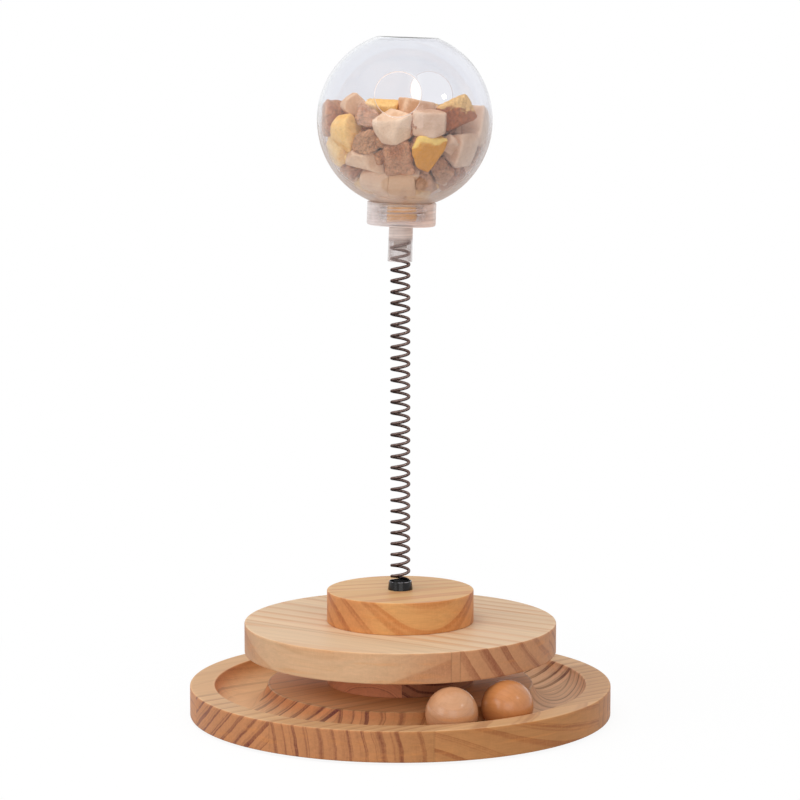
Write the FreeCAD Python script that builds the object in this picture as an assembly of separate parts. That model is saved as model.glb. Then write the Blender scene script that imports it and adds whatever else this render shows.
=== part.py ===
import FreeCAD, Part
import math
import os
import random

# A spring cat treat ball on a wooden ball track, in millimetres, +Z up. The origin is on the floor,
# under the middle of the tray. -Y is the front, where the two track balls lie.

# Pads under the tray
PAD_DIAMETER = 18.0
PAD_THICKNESS = 1.5
PAD_COUNT = 4
PAD_INSET = 10.0  # from the tray's edge to a pad's edge

# Wooden boards and blocks
TRAY_DIAMETER = 250.0
TRAY_THICKNESS = 18.0
RIM_WIDTH = 14.7
GROOVE_DEPTH = 13.3
LOWER_HUB_DIAMETER = 87.0
UPPER_DISC_DIAMETER = 185.0
UPPER_DISC_THICKNESS = 18.0
TOP_HUB_DIAMETER = 87.0
TOP_HUB_THICKNESS = 19.0
BOARD_EDGE_ROUND = 0.9
HUB_EDGE_ROUND = 0.6

# Track balls in the groove
BALL_DIAMETER = 30.0
GROOVE_PLAY = 1.0  # how much larger the groove's radius is than a ball's
BALL_LIFT = 0.3  # running gap under a ball
BALL_HEADROOM = 2.0  # between a ball and the upper disc
FIRST_BALL_BEARING = -72.1
BALL_SPACING = 6.7  # free gap from the first ball to the second

# Bolt through the wooden stack
BOLT_DIAMETER = 6.0
BOLT_HEAD_ACROSS = 10.0
BOLT_HEAD_HEIGHT = 4.0
BOLT_RECESS = 1.0  # from the tray's underside up to the bolt's head
BOLT_WASHER_DIAMETER = 18.0
BOLT_WASHER_THICKNESS = 1.6
COUNTERBORE_GAP = 1.0
HOLE_GAP = 0.3  # radial gap of a bolt or screw in its hole
THREAD_FIT = 0.05  # radial gap of a bolt or screw in its nut or plug

# Coil spring
WIRE_DIAMETER = 1.8
SPRING_MEAN_DIAMETER = 10.2
SPRING_PITCH = 6.5
SPRING_TURNS = 31.4
SPRING_START_BEARING = -69.0
SEAT_GAP = 0.1  # between a spring end and its seat
GRIP_GAP = 0.2  # between the coil and the stub inside it

# Cup under the spring and the nut in it
CUP_HEIGHT = 5.2
CUP_FLOOR = 1.4
CUP_GAP = 0.2
CUP_FOOT_WALL = 1.15
CUP_LIP_WALL = 0.55
NUT_FLANGE_THICKNESS = 1.0
NUT_BELOW_RIM = 0.2

# Sleeve over the spring's top end, with its plug and screw
SLEEVE_GRIP = 12.7  # how far the coil reaches in
SLEEVE_GAP = 0.4
SLEEVE_MOUTH_WALL = 0.85
SLEEVE_END_WALL = 0.6
SLEEVE_TOP_THICKNESS = 1.5
PLUG_LENGTH = 6.0
PLUG_GAP = 0.1
STUB_LENGTH = 6.0
SCREW_DIAMETER = 3.0
SCREW_LENGTH = 12.0
SCREW_HEAD_DIAMETER = 6.0
SCREW_HEAD_HEIGHT = 2.2
SCREW_SLOT_WIDTH = 0.9
SCREW_SLOT_DEPTH = 1.0
SCREW_HOLE_END = 1.0  # how far the plug's hole runs past the screw
SLEEVE_WASHER_DIAMETER = 9.0
SLEEVE_WASHER_THICKNESS = 0.8

# Screw cap
CAP_DIAMETER = 40.3
CAP_HEIGHT = 13.5
CAP_WALL = 1.5
CAP_FLOOR = 1.8
CAP_CORNER_ROUND = 1.6
CAP_LIP_CHAMFER = 0.5

# Thread between the cap and the treat ball's neck
THREAD_PITCH = 4.5
RIDGE_RADIUS = 0.95
RIDGE_PROUD = 0.2  # how far a ridge's centre line stands off the wall that it grows from
RIDGE_END_GAP = 0.1

# Treat ball
JAR_DIAMETER = 102.2
JAR_WALL = 1.5
CROWN_DIAMETER = 35.0
SHOULDER_GAP = 0.25  # between the cap's lip and the ball that sits on it
NECK_GAP = 1.65  # radial room for both threads
NECK_WALL = 1.7
NECK_END_GAP = 1.0
HOLE_DIAMETER = 26.5
HOLE_LATITUDE = 19.0
HOLE_BEARINGS = (-95.6, 70.0)

# Seal ring round the neck, under the ball
SEAL_THICKNESS = 1.3
SEAL_GROOVE_DEPTH = 0.3
SEAL_FIT = 0.05
SEAL_GAP = 0.1  # under the ball, where it meets the neck

# The head leans a little on its soft spring
HEAD_LEAN = 2.0
LEAN_ABOVE_MOUTH = 7.7  # the lean's pivot, above the sleeve's mouth
BEND_LENGTH = 20.0  # the stretch of spring that takes up the lean

# Treats
TREAT_SEED = 7
TREAT_UNIT_SIZE = 1.0  # what one unit stands for in the treats' lists of sizes
GLASS_GAP = 0.5
GLASS_TRIM = 0.3  # how much deeper a corner that would pass the glass is cut back
TREAT_GAP = 0.35
TREAT_SIZE = 15.0
TREAT_SPACING = 16.5
TREAT_CROWDING = 0.78  # least distance between two treats' middles, as a share of their spacing
TREAT_DISORDER = 0.1  # how far an inner treat strays from its row, as a share of the spacing
TREAT_SIZE_RANGE = (0.9, 1.2)
TREAT_TILT = 45.0
NEIGHBOUR_REACH = 37.5  # treats whose middles are farther apart than this don't touch
CORNER_CUTS = 3
CORNER_CUT_RANGE = (0.72, 0.86)  # how far out a cut passes, as a share of the treat's reach that way
HEAP_LEVEL = 1.0  # highest middle of an inner treat, above the ball's middle
NECK_TREAT = (15, 13, 9)  # in treat units
NECK_TREAT_TURN = 20.0

# Sizes that follow
TRAY_RADIUS = TRAY_DIAMETER / 2
BALL_RADIUS = BALL_DIAMETER / 2
GROOVE_RADIUS = BALL_RADIUS + GROOVE_PLAY
GROOVE_HALF_WIDTH = math.sqrt(GROOVE_RADIUS ** 2 - (GROOVE_RADIUS - GROOVE_DEPTH) ** 2)
TRACK_RADIUS = TRAY_RADIUS - RIM_WIDTH - GROOVE_HALF_WIDTH
TRAY_TOP = PAD_THICKNESS + TRAY_THICKNESS
GROOVE_FLOOR = TRAY_TOP - GROOVE_DEPTH
BALL_MIDDLE = GROOVE_FLOOR + BALL_LIFT + BALL_RADIUS
DISC_UNDERSIDE = BALL_MIDDLE + BALL_RADIUS + BALL_HEADROOM
DISC_TOP = DISC_UNDERSIDE + UPPER_DISC_THICKNESS
HUB_TOP = DISC_TOP + TOP_HUB_THICKNESS
BOLT_HOLE = BOLT_DIAMETER / 2 + HOLE_GAP
COUNTERBORE_TOP = PAD_THICKNESS + BOLT_RECESS + BOLT_HEAD_HEIGHT + BOLT_WASHER_THICKNESS
COUNTERBORE_RADIUS = BOLT_WASHER_DIAMETER / 2 + COUNTERBORE_GAP

WIRE_RADIUS = WIRE_DIAMETER / 2
COIL_RADIUS = SPRING_MEAN_DIAMETER / 2
COIL_OUTSIDE = COIL_RADIUS + WIRE_RADIUS
STUB_RADIUS = COIL_RADIUS - WIRE_RADIUS - GRIP_GAP
CUP_BORE = COIL_OUTSIDE + CUP_GAP
SPRING_FOOT = HUB_TOP + CUP_FLOOR + NUT_FLANGE_THICKNESS + SEAT_GAP + WIRE_RADIUS
SPRING_END = SPRING_FOOT + SPRING_TURNS * SPRING_PITCH

SLEEVE_MOUTH = SPRING_END - SLEEVE_GRIP
SLEEVE_BORE = COIL_OUTSIDE + SLEEVE_GAP
PLUG_BOTTOM = SPRING_END + WIRE_RADIUS + SEAT_GAP
PLUG_TOP = PLUG_BOTTOM + PLUG_LENGTH
CAP_BOTTOM = PLUG_TOP + SLEEVE_TOP_THICKNESS
CAP_TOP = CAP_BOTTOM + CAP_HEIGHT
CAP_RADIUS = CAP_DIAMETER / 2
CAP_BORE = CAP_RADIUS - CAP_WALL
CAP_FLOOR_TOP = CAP_BOTTOM + CAP_FLOOR
LEAN_PIVOT = SLEEVE_MOUTH + LEAN_ABOVE_MOUTH

JAR_RADIUS = JAR_DIAMETER / 2
JAR_INSIDE = JAR_RADIUS - JAR_WALL
JAR_MIDDLE = CAP_TOP + SHOULDER_GAP + math.sqrt(JAR_RADIUS ** 2 - CAP_BORE ** 2)
CROWN_HEIGHT = math.sqrt(JAR_RADIUS ** 2 - (CROWN_DIAMETER / 2) ** 2)
NECK_RADIUS = CAP_BORE - NECK_GAP
NECK_BORE = NECK_RADIUS - NECK_WALL
NECK_END = CAP_FLOOR_TOP + NECK_END_GAP
SHOULDER = JAR_MIDDLE - math.sqrt(JAR_RADIUS ** 2 - NECK_RADIUS ** 2)
SEAL_MIDDLE = SHOULDER - SEAL_GAP - SEAL_THICKNESS / 2
SEAL_GROOVE_RADIUS = SEAL_THICKNESS / 2 + SEAL_FIT
SEAL_RING_RADIUS = NECK_RADIUS - SEAL_GROOVE_DEPTH + SEAL_THICKNESS / 2 + SEAL_FIT
THREAD_START = NECK_END + RIDGE_RADIUS + RIDGE_END_GAP
THREAD_END = SEAL_MIDDLE - SEAL_THICKNESS / 2 - RIDGE_RADIUS - RIDGE_END_GAP
SLEEVE_WASHER_TOP = CAP_FLOOR_TOP + SLEEVE_WASHER_THICKNESS

UP = FreeCAD.Vector(0, 0, 1)


def at(radius, bearing, height):
    """The point at a radius, a bearing in degrees from +X towards +Y, and a height."""
    turn = math.radians(bearing)
    return FreeCAD.Vector(radius * math.cos(turn), radius * math.sin(turn), height)


def turned(outline):
    """The solid of revolution of a closed outline of (radius, height) points. A step that is a point
    and a through point, ((r, z), (r, z)), is an arc from the point before it."""
    edges = []
    steps = outline + [outline[0]]
    last = FreeCAD.Vector(steps[0][0], 0, steps[0][1])
    for step in steps[1:]:
        if isinstance(step[0], tuple):
            through, end = (FreeCAD.Vector(r, 0, z) for r, z in step)
            edges.append(Part.Arc(last, through, end).toShape())
        else:
            end = FreeCAD.Vector(step[0], 0, step[1])
            edges.append(Part.LineSegment(last, end).toShape())
        last = end
    face = Part.Face(Part.Wire(edges))
    return face.revolve(FreeCAD.Vector(0, 0, 0), UP, 360)


def ring(outer, inner, bottom, top):
    """A plain ring between two radii."""
    return turned([(inner, bottom), (outer, bottom), (outer, top), (inner, top)])


def cylinder(radius, bottom, top):
    """A plain upright cylinder on the middle axis."""
    return Part.makeCylinder(radius, top - bottom, FreeCAD.Vector(0, 0, bottom))


def rounded_rims(solid, size, radii):
    """The solid with the circular edges that have one of these radii rounded."""
    edges = [
        edge for edge in solid.Edges
        if hasattr(edge.Curve, "Radius") and any(abs(edge.Curve.Radius - r) < 1e-6 for r in radii)
        and abs(edge.Curve.Axis.z) > 0.99
    ]
    return solid.makeFillet(size, edges)


def leaned(shape):
    """The shape turned with the head, which leans towards +X."""
    shape.rotate(FreeCAD.Vector(0, 0, LEAN_PIVOT), FreeCAD.Vector(0, 1, 0), HEAD_LEAN)
    return shape


def arc_to(start, corner, end):
    """The arc from start to end that touches both lines to the corner, and its radius."""
    middle = (start + end) * 0.5
    half_chord = (end - start).Length / 2
    rise = corner - middle
    half_turn = math.atan2(rise.Length, half_chord)
    through = middle + rise * (half_chord * math.tan(half_turn / 2) / rise.Length)
    return Part.Arc(start, through, end).toShape(), half_chord / math.sin(half_turn)


def biarc(start, start_way, end, end_way):
    """Two arcs from start to end that leave and arrive along the given unit vectors and meet smoothly
    where both tangent legs are equally long, and the smaller radius."""
    chord = end - start
    ways = start_way + end_way
    a = 2 * (start_way.dot(end_way) - 1)
    b = -2 * chord.dot(ways)
    c = chord.dot(chord)
    leg = (-b - math.sqrt(b * b - 4 * a * c)) / (2 * a)
    first_corner = start + start_way * leg
    second_corner = end - end_way * leg
    joint = (first_corner + second_corner) * 0.5
    first, first_radius = arc_to(start, first_corner, joint)
    second, second_radius = arc_to(joint, second_corner, end)
    return [first, second], min(first_radius, second_radius)


def coil(point_at, turns, wire_radius):
    """A tube along a coil: a pipe shell on biarcs of a quarter turn, and its tightest radius."""
    count = max(2, round(turns * 4))
    step = turns / count
    nudge = 1e-4
    edges = []
    tightest = math.inf
    for k in range(count):
        ends = [point_at(t * step) for t in (k, k + 1)]
        ways = [point_at(t * step + nudge) - point_at(t * step - nudge) for t in (k, k + 1)]
        for way in ways:
            way.normalize()
        arcs, radius = biarc(ends[0], ways[0], ends[1], ways[1])
        edges += arcs
        tightest = min(tightest, radius)
    way = point_at(nudge) - point_at(-nudge)
    section = Part.Wire(Part.makeCircle(wire_radius, point_at(0), way))
    return Part.Wire(edges).makePipeShell([section], True, False), tightest


def least_gap(point_at, turns, wire_radius):
    """The least gap between stretches of a coil's wire, measured on points."""
    per_turn = 36
    points = [point_at(k / per_turn) for k in range(int(turns * per_turn) + 1)]
    nearest = min(
        (points[i] - points[j]).Length
        for i in range(len(points))
        for j in range(i + per_turn // 2, min(i + 2 * per_turn, len(points)))
    )
    return nearest - 2 * wire_radius


def foot_pads():
    """Thin round pads under the tray's rim."""
    radius = TRAY_RADIUS - PAD_INSET - PAD_DIAMETER / 2
    return Part.makeCompound([
        Part.makeCylinder(PAD_DIAMETER / 2, PAD_THICKNESS, at(radius, 360 * (k + 0.5) / PAD_COUNT, 0))
        for k in range(PAD_COUNT)
    ])


def base_tray():
    """The round tray: a rim, a ball-nose groove and a flat middle, with the bolt's counterbore."""
    solid = turned([
        (COUNTERBORE_RADIUS, PAD_THICKNESS),
        (TRAY_RADIUS, PAD_THICKNESS),
        (TRAY_RADIUS, TRAY_TOP),
        (TRACK_RADIUS + GROOVE_HALF_WIDTH, TRAY_TOP),
        ((TRACK_RADIUS, GROOVE_FLOOR), (TRACK_RADIUS - GROOVE_HALF_WIDTH, TRAY_TOP)),
        (BOLT_HOLE, TRAY_TOP),
        (BOLT_HOLE, COUNTERBORE_TOP),
        (COUNTERBORE_RADIUS, COUNTERBORE_TOP),
    ])
    lips = [TRACK_RADIUS - GROOVE_HALF_WIDTH, TRACK_RADIUS + GROOVE_HALF_WIDTH]
    return rounded_rims(solid, BOARD_EDGE_ROUND, [TRAY_RADIUS] + lips)


def lower_hub():
    """The spacer that holds the upper disc clear of the balls."""
    radius = LOWER_HUB_DIAMETER / 2
    return rounded_rims(ring(radius, BOLT_HOLE, TRAY_TOP, DISC_UNDERSIDE), HUB_EDGE_ROUND, [radius])


def upper_disc():
    """The board that covers the inner half of the track."""
    radius = UPPER_DISC_DIAMETER / 2
    return rounded_rims(ring(radius, BOLT_HOLE, DISC_UNDERSIDE, DISC_TOP), BOARD_EDGE_ROUND, [radius])


def top_hub():
    """The block that the spring's cup is bolted to."""
    radius = TOP_HUB_DIAMETER / 2
    return rounded_rims(ring(radius, BOLT_HOLE, DISC_TOP, HUB_TOP), HUB_EDGE_ROUND, [radius])


def track_ball(index):
    """A wooden ball in the groove; the second lies beside the first, a free gap away."""
    apart = 2 * math.degrees(math.asin((BALL_DIAMETER + BALL_SPACING) / (2 * TRACK_RADIUS)))
    return Part.makeSphere(BALL_RADIUS, at(TRACK_RADIUS, FIRST_BALL_BEARING + index * apart, BALL_MIDDLE))


def central_bolt():
    """A hexagon bolt from the tray's counterbore up into the cup's nut."""
    corner = BOLT_HEAD_ACROSS / math.sqrt(3)
    head_bottom = PAD_THICKNESS + BOLT_RECESS
    outline = Part.makePolygon([at(corner, 60 * k, head_bottom) for k in range(7)])
    head = Part.Face(outline).extrude(UP * BOLT_HEAD_HEIGHT)
    shank = cylinder(BOLT_DIAMETER / 2, head_bottom, HUB_TOP + CUP_HEIGHT - NUT_BELOW_RIM)
    return head.fuse(shank).removeSplitter()


def bolt_washer():
    """The wide washer between the bolt's head and the tray."""
    bottom = COUNTERBORE_TOP - BOLT_WASHER_THICKNESS
    return ring(BOLT_WASHER_DIAMETER / 2, BOLT_HOLE, bottom, COUNTERBORE_TOP)


def spring_cup():
    """The ferrule that the spring stands in, a little narrower at its lip."""
    return turned([
        (BOLT_HOLE, HUB_TOP),
        (CUP_BORE + CUP_FOOT_WALL, HUB_TOP),
        (CUP_BORE + CUP_LIP_WALL, HUB_TOP + CUP_HEIGHT),
        (CUP_BORE, HUB_TOP + CUP_HEIGHT),
        (CUP_BORE, HUB_TOP + CUP_FLOOR),
        (BOLT_HOLE, HUB_TOP + CUP_FLOOR),
    ])


def cup_nut():
    """The flanged nut that clamps the cup; the spring's foot grips its barrel."""
    bottom = HUB_TOP + CUP_FLOOR
    top = HUB_TOP + CUP_HEIGHT - NUT_BELOW_RIM
    bore = BOLT_DIAMETER / 2 + THREAD_FIT
    flange = CUP_BORE - CUP_GAP
    return turned([
        (bore, bottom),
        (flange, bottom),
        (flange, bottom + NUT_FLANGE_THICKNESS),
        (STUB_RADIUS, bottom + NUT_FLANGE_THICKNESS),
        (STUB_RADIUS, top),
        (bore, top),
    ])


def spring_point(turn):
    """The wire's centre after so many turns. The coil's axis bends smoothly into the head's lean."""
    height = SPRING_FOOT + SPRING_PITCH * turn
    into_bend = height - (LEAN_PIVOT - BEND_LENGTH / 2)
    slope = math.tan(math.radians(HEAD_LEAN))
    if into_bend <= 0:
        offset = 0.0
    elif into_bend < BEND_LENGTH:
        offset = slope * into_bend ** 2 / (2 * BEND_LENGTH)
    else:
        offset = slope * (height - LEAN_PIVOT)
    return at(COIL_RADIUS, SPRING_START_BEARING + 360 * turn, height) + FreeCAD.Vector(offset, 0, 0)


def spring():
    """The open coil spring."""
    solid, tightest = coil(spring_point, SPRING_TURNS, WIRE_RADIUS)
    gap = least_gap(spring_point, SPRING_TURNS, WIRE_RADIUS)
    print(f"spring: least gap to itself {gap:.2f} mm, tightest arc {tightest:.2f} mm")
    return solid


def spring_sleeve():
    """The tube over the spring's top end, closed at its top."""
    hole = SCREW_DIAMETER / 2 + HOLE_GAP
    return leaned(turned([
        (SLEEVE_BORE, SLEEVE_MOUTH),
        (SLEEVE_BORE + SLEEVE_MOUTH_WALL, SLEEVE_MOUTH),
        (SLEEVE_BORE + SLEEVE_END_WALL, CAP_BOTTOM),
        (hole, CAP_BOTTOM),
        (hole, PLUG_TOP),
        (SLEEVE_BORE, PLUG_TOP),
    ]))


def sleeve_plug():
    """The plug that the spring's top turns grip, held up in the sleeve by the screw."""
    hole = SCREW_DIAMETER / 2 + THREAD_FIT
    hole_bottom = SLEEVE_WASHER_TOP - SCREW_LENGTH - SCREW_HOLE_END
    body = cylinder(SLEEVE_BORE - PLUG_GAP, PLUG_BOTTOM, PLUG_TOP)
    stub = cylinder(STUB_RADIUS, PLUG_BOTTOM - STUB_LENGTH, PLUG_BOTTOM)
    return leaned(body.fuse(stub).cut(cylinder(hole, hole_bottom, PLUG_TOP)).removeSplitter())


def sleeve_screw():
    """The pan-head screw from inside the cap, with a driver slot."""
    head_top = SLEEVE_WASHER_TOP + SCREW_HEAD_HEIGHT
    head = cylinder(SCREW_HEAD_DIAMETER / 2, SLEEVE_WASHER_TOP, head_top)
    shank = cylinder(SCREW_DIAMETER / 2, SLEEVE_WASHER_TOP - SCREW_LENGTH, SLEEVE_WASHER_TOP)
    corner = FreeCAD.Vector(-SCREW_HEAD_DIAMETER, -SCREW_SLOT_WIDTH / 2, head_top - SCREW_SLOT_DEPTH)
    slot = Part.makeBox(2 * SCREW_HEAD_DIAMETER, SCREW_SLOT_WIDTH, 2 * SCREW_SLOT_DEPTH, corner)
    return leaned(head.fuse(shank).cut(slot).removeSplitter())


def sleeve_washer():
    """The washer between the screw's head and the cap's floor."""
    hole = SCREW_DIAMETER / 2 + HOLE_GAP
    return leaned(ring(SLEEVE_WASHER_DIAMETER / 2, hole, CAP_FLOOR_TOP, SLEEVE_WASHER_TOP))


def thread_ridge(radius, start):
    """A round right-handed thread ridge, from a height up to the thread's end."""
    turns = (THREAD_END - start) / THREAD_PITCH
    solid, _ = coil(lambda turn: at(radius, 360 * turn, start + THREAD_PITCH * turn), turns, RIDGE_RADIUS)
    return solid


def cap():
    """The screw cap: a floor with the screw's hole, and a wall with a thread ridge inside."""
    hole = SCREW_DIAMETER / 2 + HOLE_GAP
    round_in = CAP_CORNER_ROUND * (1 - math.sqrt(0.5))
    wall = turned([
        (hole, CAP_BOTTOM),
        (CAP_RADIUS - CAP_CORNER_ROUND, CAP_BOTTOM),
        ((CAP_RADIUS - round_in, CAP_BOTTOM + round_in), (CAP_RADIUS, CAP_BOTTOM + CAP_CORNER_ROUND)),
        (CAP_RADIUS, CAP_TOP),
        (CAP_BORE + CAP_LIP_CHAMFER, CAP_TOP),
        (CAP_BORE, CAP_TOP - CAP_LIP_CHAMFER),
        (CAP_BORE, CAP_FLOOR_TOP),
        (hole, CAP_FLOOR_TOP),
    ])
    ridge = thread_ridge(CAP_BORE - RIDGE_PROUD, THREAD_START + THREAD_PITCH / 2)
    return leaned(wall.fuse(ridge))


def neck_seal():
    """The round seal ring in the neck's groove."""
    return leaned(Part.makeTorus(SEAL_RING_RADIUS, SEAL_THICKNESS / 2, FreeCAD.Vector(0, 0, SEAL_MIDDLE)))


def treat_ball():
    """The hollow ball, with a flattened crown, two round holes and a threaded neck."""
    crown_inside = CROWN_HEIGHT - JAR_WALL
    neck_top = JAR_MIDDLE - math.sqrt(JAR_INSIDE ** 2 - NECK_BORE ** 2)
    half_groove = math.sqrt(SEAL_GROOVE_RADIUS ** 2 - (SEAL_RING_RADIUS - NECK_RADIUS) ** 2)
    groove_bottom = SEAL_RING_RADIUS - SEAL_GROOVE_RADIUS
    shell = turned([
        (0, JAR_MIDDLE + crown_inside),
        (math.sqrt(JAR_INSIDE ** 2 - crown_inside ** 2), JAR_MIDDLE + crown_inside),
        ((JAR_INSIDE, JAR_MIDDLE), (NECK_BORE, neck_top)),
        (NECK_BORE, NECK_END),
        (NECK_RADIUS, NECK_END),
        (NECK_RADIUS, SEAL_MIDDLE - half_groove),
        ((groove_bottom, SEAL_MIDDLE), (NECK_RADIUS, SEAL_MIDDLE + half_groove)),
        (NECK_RADIUS, SHOULDER),
        ((JAR_RADIUS, JAR_MIDDLE), (CROWN_DIAMETER / 2, JAR_MIDDLE + CROWN_HEIGHT)),
        (0, JAR_MIDDLE + CROWN_HEIGHT),
    ])
    middle = FreeCAD.Vector(0, 0, JAR_MIDDLE)
    level = math.cos(math.radians(HOLE_LATITUDE))
    for bearing in HOLE_BEARINGS:
        way = at(level, bearing, math.sin(math.radians(HOLE_LATITUDE)))
        shell = shell.cut(Part.makeCylinder(HOLE_DIAMETER / 2, JAR_RADIUS + JAR_WALL, middle, way))
    return leaned(shell.fuse(thread_ridge(NECK_RADIUS + RIDGE_PROUD, THREAD_START)))


def block(middle, sizes, turns):
    """A box as a list of faces, each a loop of points, turned about X, Y and Z in degrees."""
    spin = FreeCAD.Rotation(turns[2], turns[1], turns[0])
    faces = []
    for axis in range(3):
        for side in (-1, 1):
            loop = []
            for u, v in ((-1, -1), (1, -1), (1, 1), (-1, 1)):
                corner = [0, 0, 0]
                corner[axis] = side * sizes[axis] / 2
                corner[(axis + 1) % 3] = side * u * sizes[(axis + 1) % 3] / 2
                corner[(axis + 2) % 3] = v * sizes[(axis + 2) % 3] / 2
                loop.append(middle + spin.multVec(FreeCAD.Vector(*corner)))
            faces.append(loop)
    return faces


def trimmed(faces, normal, reach):
    """The convex body of these faces, without what lies past a plane: its normal and its reach from 0."""
    kept = []
    rim = []
    for loop in faces:
        left = []
        for here, there in zip(loop, loop[1:] + loop[:1]):
            above, next_above = normal.dot(here) - reach, normal.dot(there) - reach
            if above <= 0:
                left.append(here)
            if above * next_above < 0:
                left.append(here + (there - here) * (above / (above - next_above)))
                rim.append(left[-1])
        if len(left) > 2:
            kept.append(left)
    if len(rim) < 3 or not kept:
        return kept
    middle = sum(rim, FreeCAD.Vector()) * (1 / len(rim))
    side = (rim[0] - middle).normalize()
    across = normal.cross(side)
    rim.sort(key=lambda p: math.atan2((p - middle).dot(across), (p - middle).dot(side)))
    loop = [p for k, p in enumerate(rim) if (p - rim[k - 1]).Length > 1e-7]
    return kept + [loop]


def solid_of(faces):
    """The solid inside convex faces."""
    return Part.Solid(Part.Shell([Part.Face(Part.makePolygon(loop + [loop[0]])) for loop in faces]))


# Treats that show at the front: colour, bearing from the front and height in degrees as seen from the
# ball's middle, depth behind the glass, width, height and thickness in treat units, then tilts about X,
# Y and Z in degrees
FRONT_TREATS = [
    ("cream", -8, -4, 8.5, 20, 14, 14, 20, -28, 35),
    ("cream", 20, -1, 8.0, 17, 14, 13, 10, 4, -8),
    ("cream", 12, 12, 19.0, 18, 12, 12, 0, 8, 20),
    ("yellow", -30, 12, 20.0, 20, 9, 13, 15, 0, -10),
    ("cream", -56, 13, 12.5, 10, 11, 11, 0, 42, 10),
    ("brown", -78, -1, 7.0, 17, 20, 15, 0, -10, -72),
    ("brown", -33, 3, 10.0, 13, 12, 12, 10, 25, 0),
    ("yellow", -51, -10, 8.0, 15, 17, 14, 0, -42, 30),
    ("brown", -32, -16, 7.5, 16, 14, 13, 0, -30, 20),
    ("cream", -34, -31, 8.5, 20, 13, 13, 0, 15, 20),
    ("yellow", -68, -26, 7.0, 14, 17, 13, 0, 25, -50),
    ("brown", -68, -42, 6.8, 15, 12, 13, 0, 35, -60),
    ("yellow", -62, -56, 6.5, 11, 9, 11, 0, 40, -50),
    ("cream", -33, -53, 7.5, 17, 14, 14, 0, 10, -20),
    ("cream", -1, -55, 7.5, 15, 15, 14, 10, -5, 0),
    ("brown", -4, -28, 8.5, 18, 22, 14, 0, -8, 0),
    ("yellow", 19, -21, 7.0, 17, 21, 14, 0, 22, 15),
    ("brown", 46, 8, 10.0, 19, 16, 16, 10, -25, -30),
    ("cream", 76, -4, 7.0, 19, 20, 15, 0, 20, 70),
    ("cream", 53, -22, 7.5, 18, 17, 14, 0, -12, -40),
    ("brown", 88, -24, 6.5, 12, 17, 13, 0, 15, 80),
    ("brown", 41, -39, 7.0, 12, 15, 13, 0, -25, -20),
    ("brown", 27, -51, 7.5, 14, 13, 13, 0, 5, -10),
    ("brown", 76, -47, 7.0, 16, 13, 13, 0, -35, 70),
    ("cream", -30, -73, 7.0, 13, 13, 13, 30, 0, 20),
    ("yellow", 50, -72, 7.0, 12, 12, 13, 20, 20, 0),
]
KINDS = ("cream", "brown", "yellow", "cream", "brown", "cream", "yellow", "brown")


def placed(reach, bearing, lift):
    """A point at a reach from the ball's middle, a bearing from the front and a height in degrees."""
    level = reach * math.cos(math.radians(lift))
    return at(level, bearing - 90, reach * math.sin(math.radians(lift)))


def inner_places(rand):
    """Middles for the other treats, on nested shells in level rows, with a little disorder."""
    reach = JAR_INSIDE - TREAT_SIZE / 2
    while reach > 0:
        rows = max(1, round(math.pi * reach / TREAT_SPACING))
        for row in range(rows):
            lift = 90 - 180 * (row + 0.5) / rows
            around = max(1, round(2 * math.pi * reach * math.cos(math.radians(lift)) / TREAT_SPACING))
            for k in range(around):
                bearing = 180 + 360 * (k + 0.5 * (row % 2)) / around
                stray = [rand.uniform(-1, 1) * TREAT_DISORDER * TREAT_SPACING for _ in range(3)]
                yield placed(reach, bearing, lift) + FreeCAD.Vector(*stray)
        reach -= TREAT_SPACING


def treat_layout():
    """Every treat's kind, middle, sizes, tilts and how far from the ball's middle it may reach, in the
    ball's upright frame."""
    rand = random.Random(TREAT_SEED)
    limit = JAR_INSIDE - GLASS_GAP
    layout = []
    for kind, bearing, lift, depth, width, height, thickness, *tilts in FRONT_TREATS:
        sizes = tuple(size * TREAT_UNIT_SIZE for size in (width, thickness, height))
        layout.append((kind, placed(JAR_INSIDE - depth * TREAT_UNIT_SIZE, bearing, lift), sizes, tilts, limit))
    neck_reach = JAR_MIDDLE - SLEEVE_WASHER_TOP - SCREW_HEAD_HEIGHT
    neck_middle = FreeCAD.Vector(0, 0, TREAT_SIZE / 2 - neck_reach)
    neck_sizes = tuple(size * TREAT_UNIT_SIZE for size in NECK_TREAT)
    layout.append(("yellow", neck_middle, neck_sizes, [0, 0, NECK_TREAT_TURN], neck_reach))
    for count, middle in enumerate(inner_places(rand)):
        sizes = tuple(TREAT_SIZE * rand.uniform(*TREAT_SIZE_RANGE) for _ in range(3))
        tilts = [rand.uniform(-TREAT_TILT, TREAT_TILT) for _ in range(3)]
        clear = all((middle - other[1]).Length > TREAT_CROWDING * TREAT_SPACING for other in layout)
        if middle.z < HEAP_LEVEL and clear:
            layout.append((KINDS[count % len(KINDS)], middle, sizes, tilts, limit))
    return layout


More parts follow.
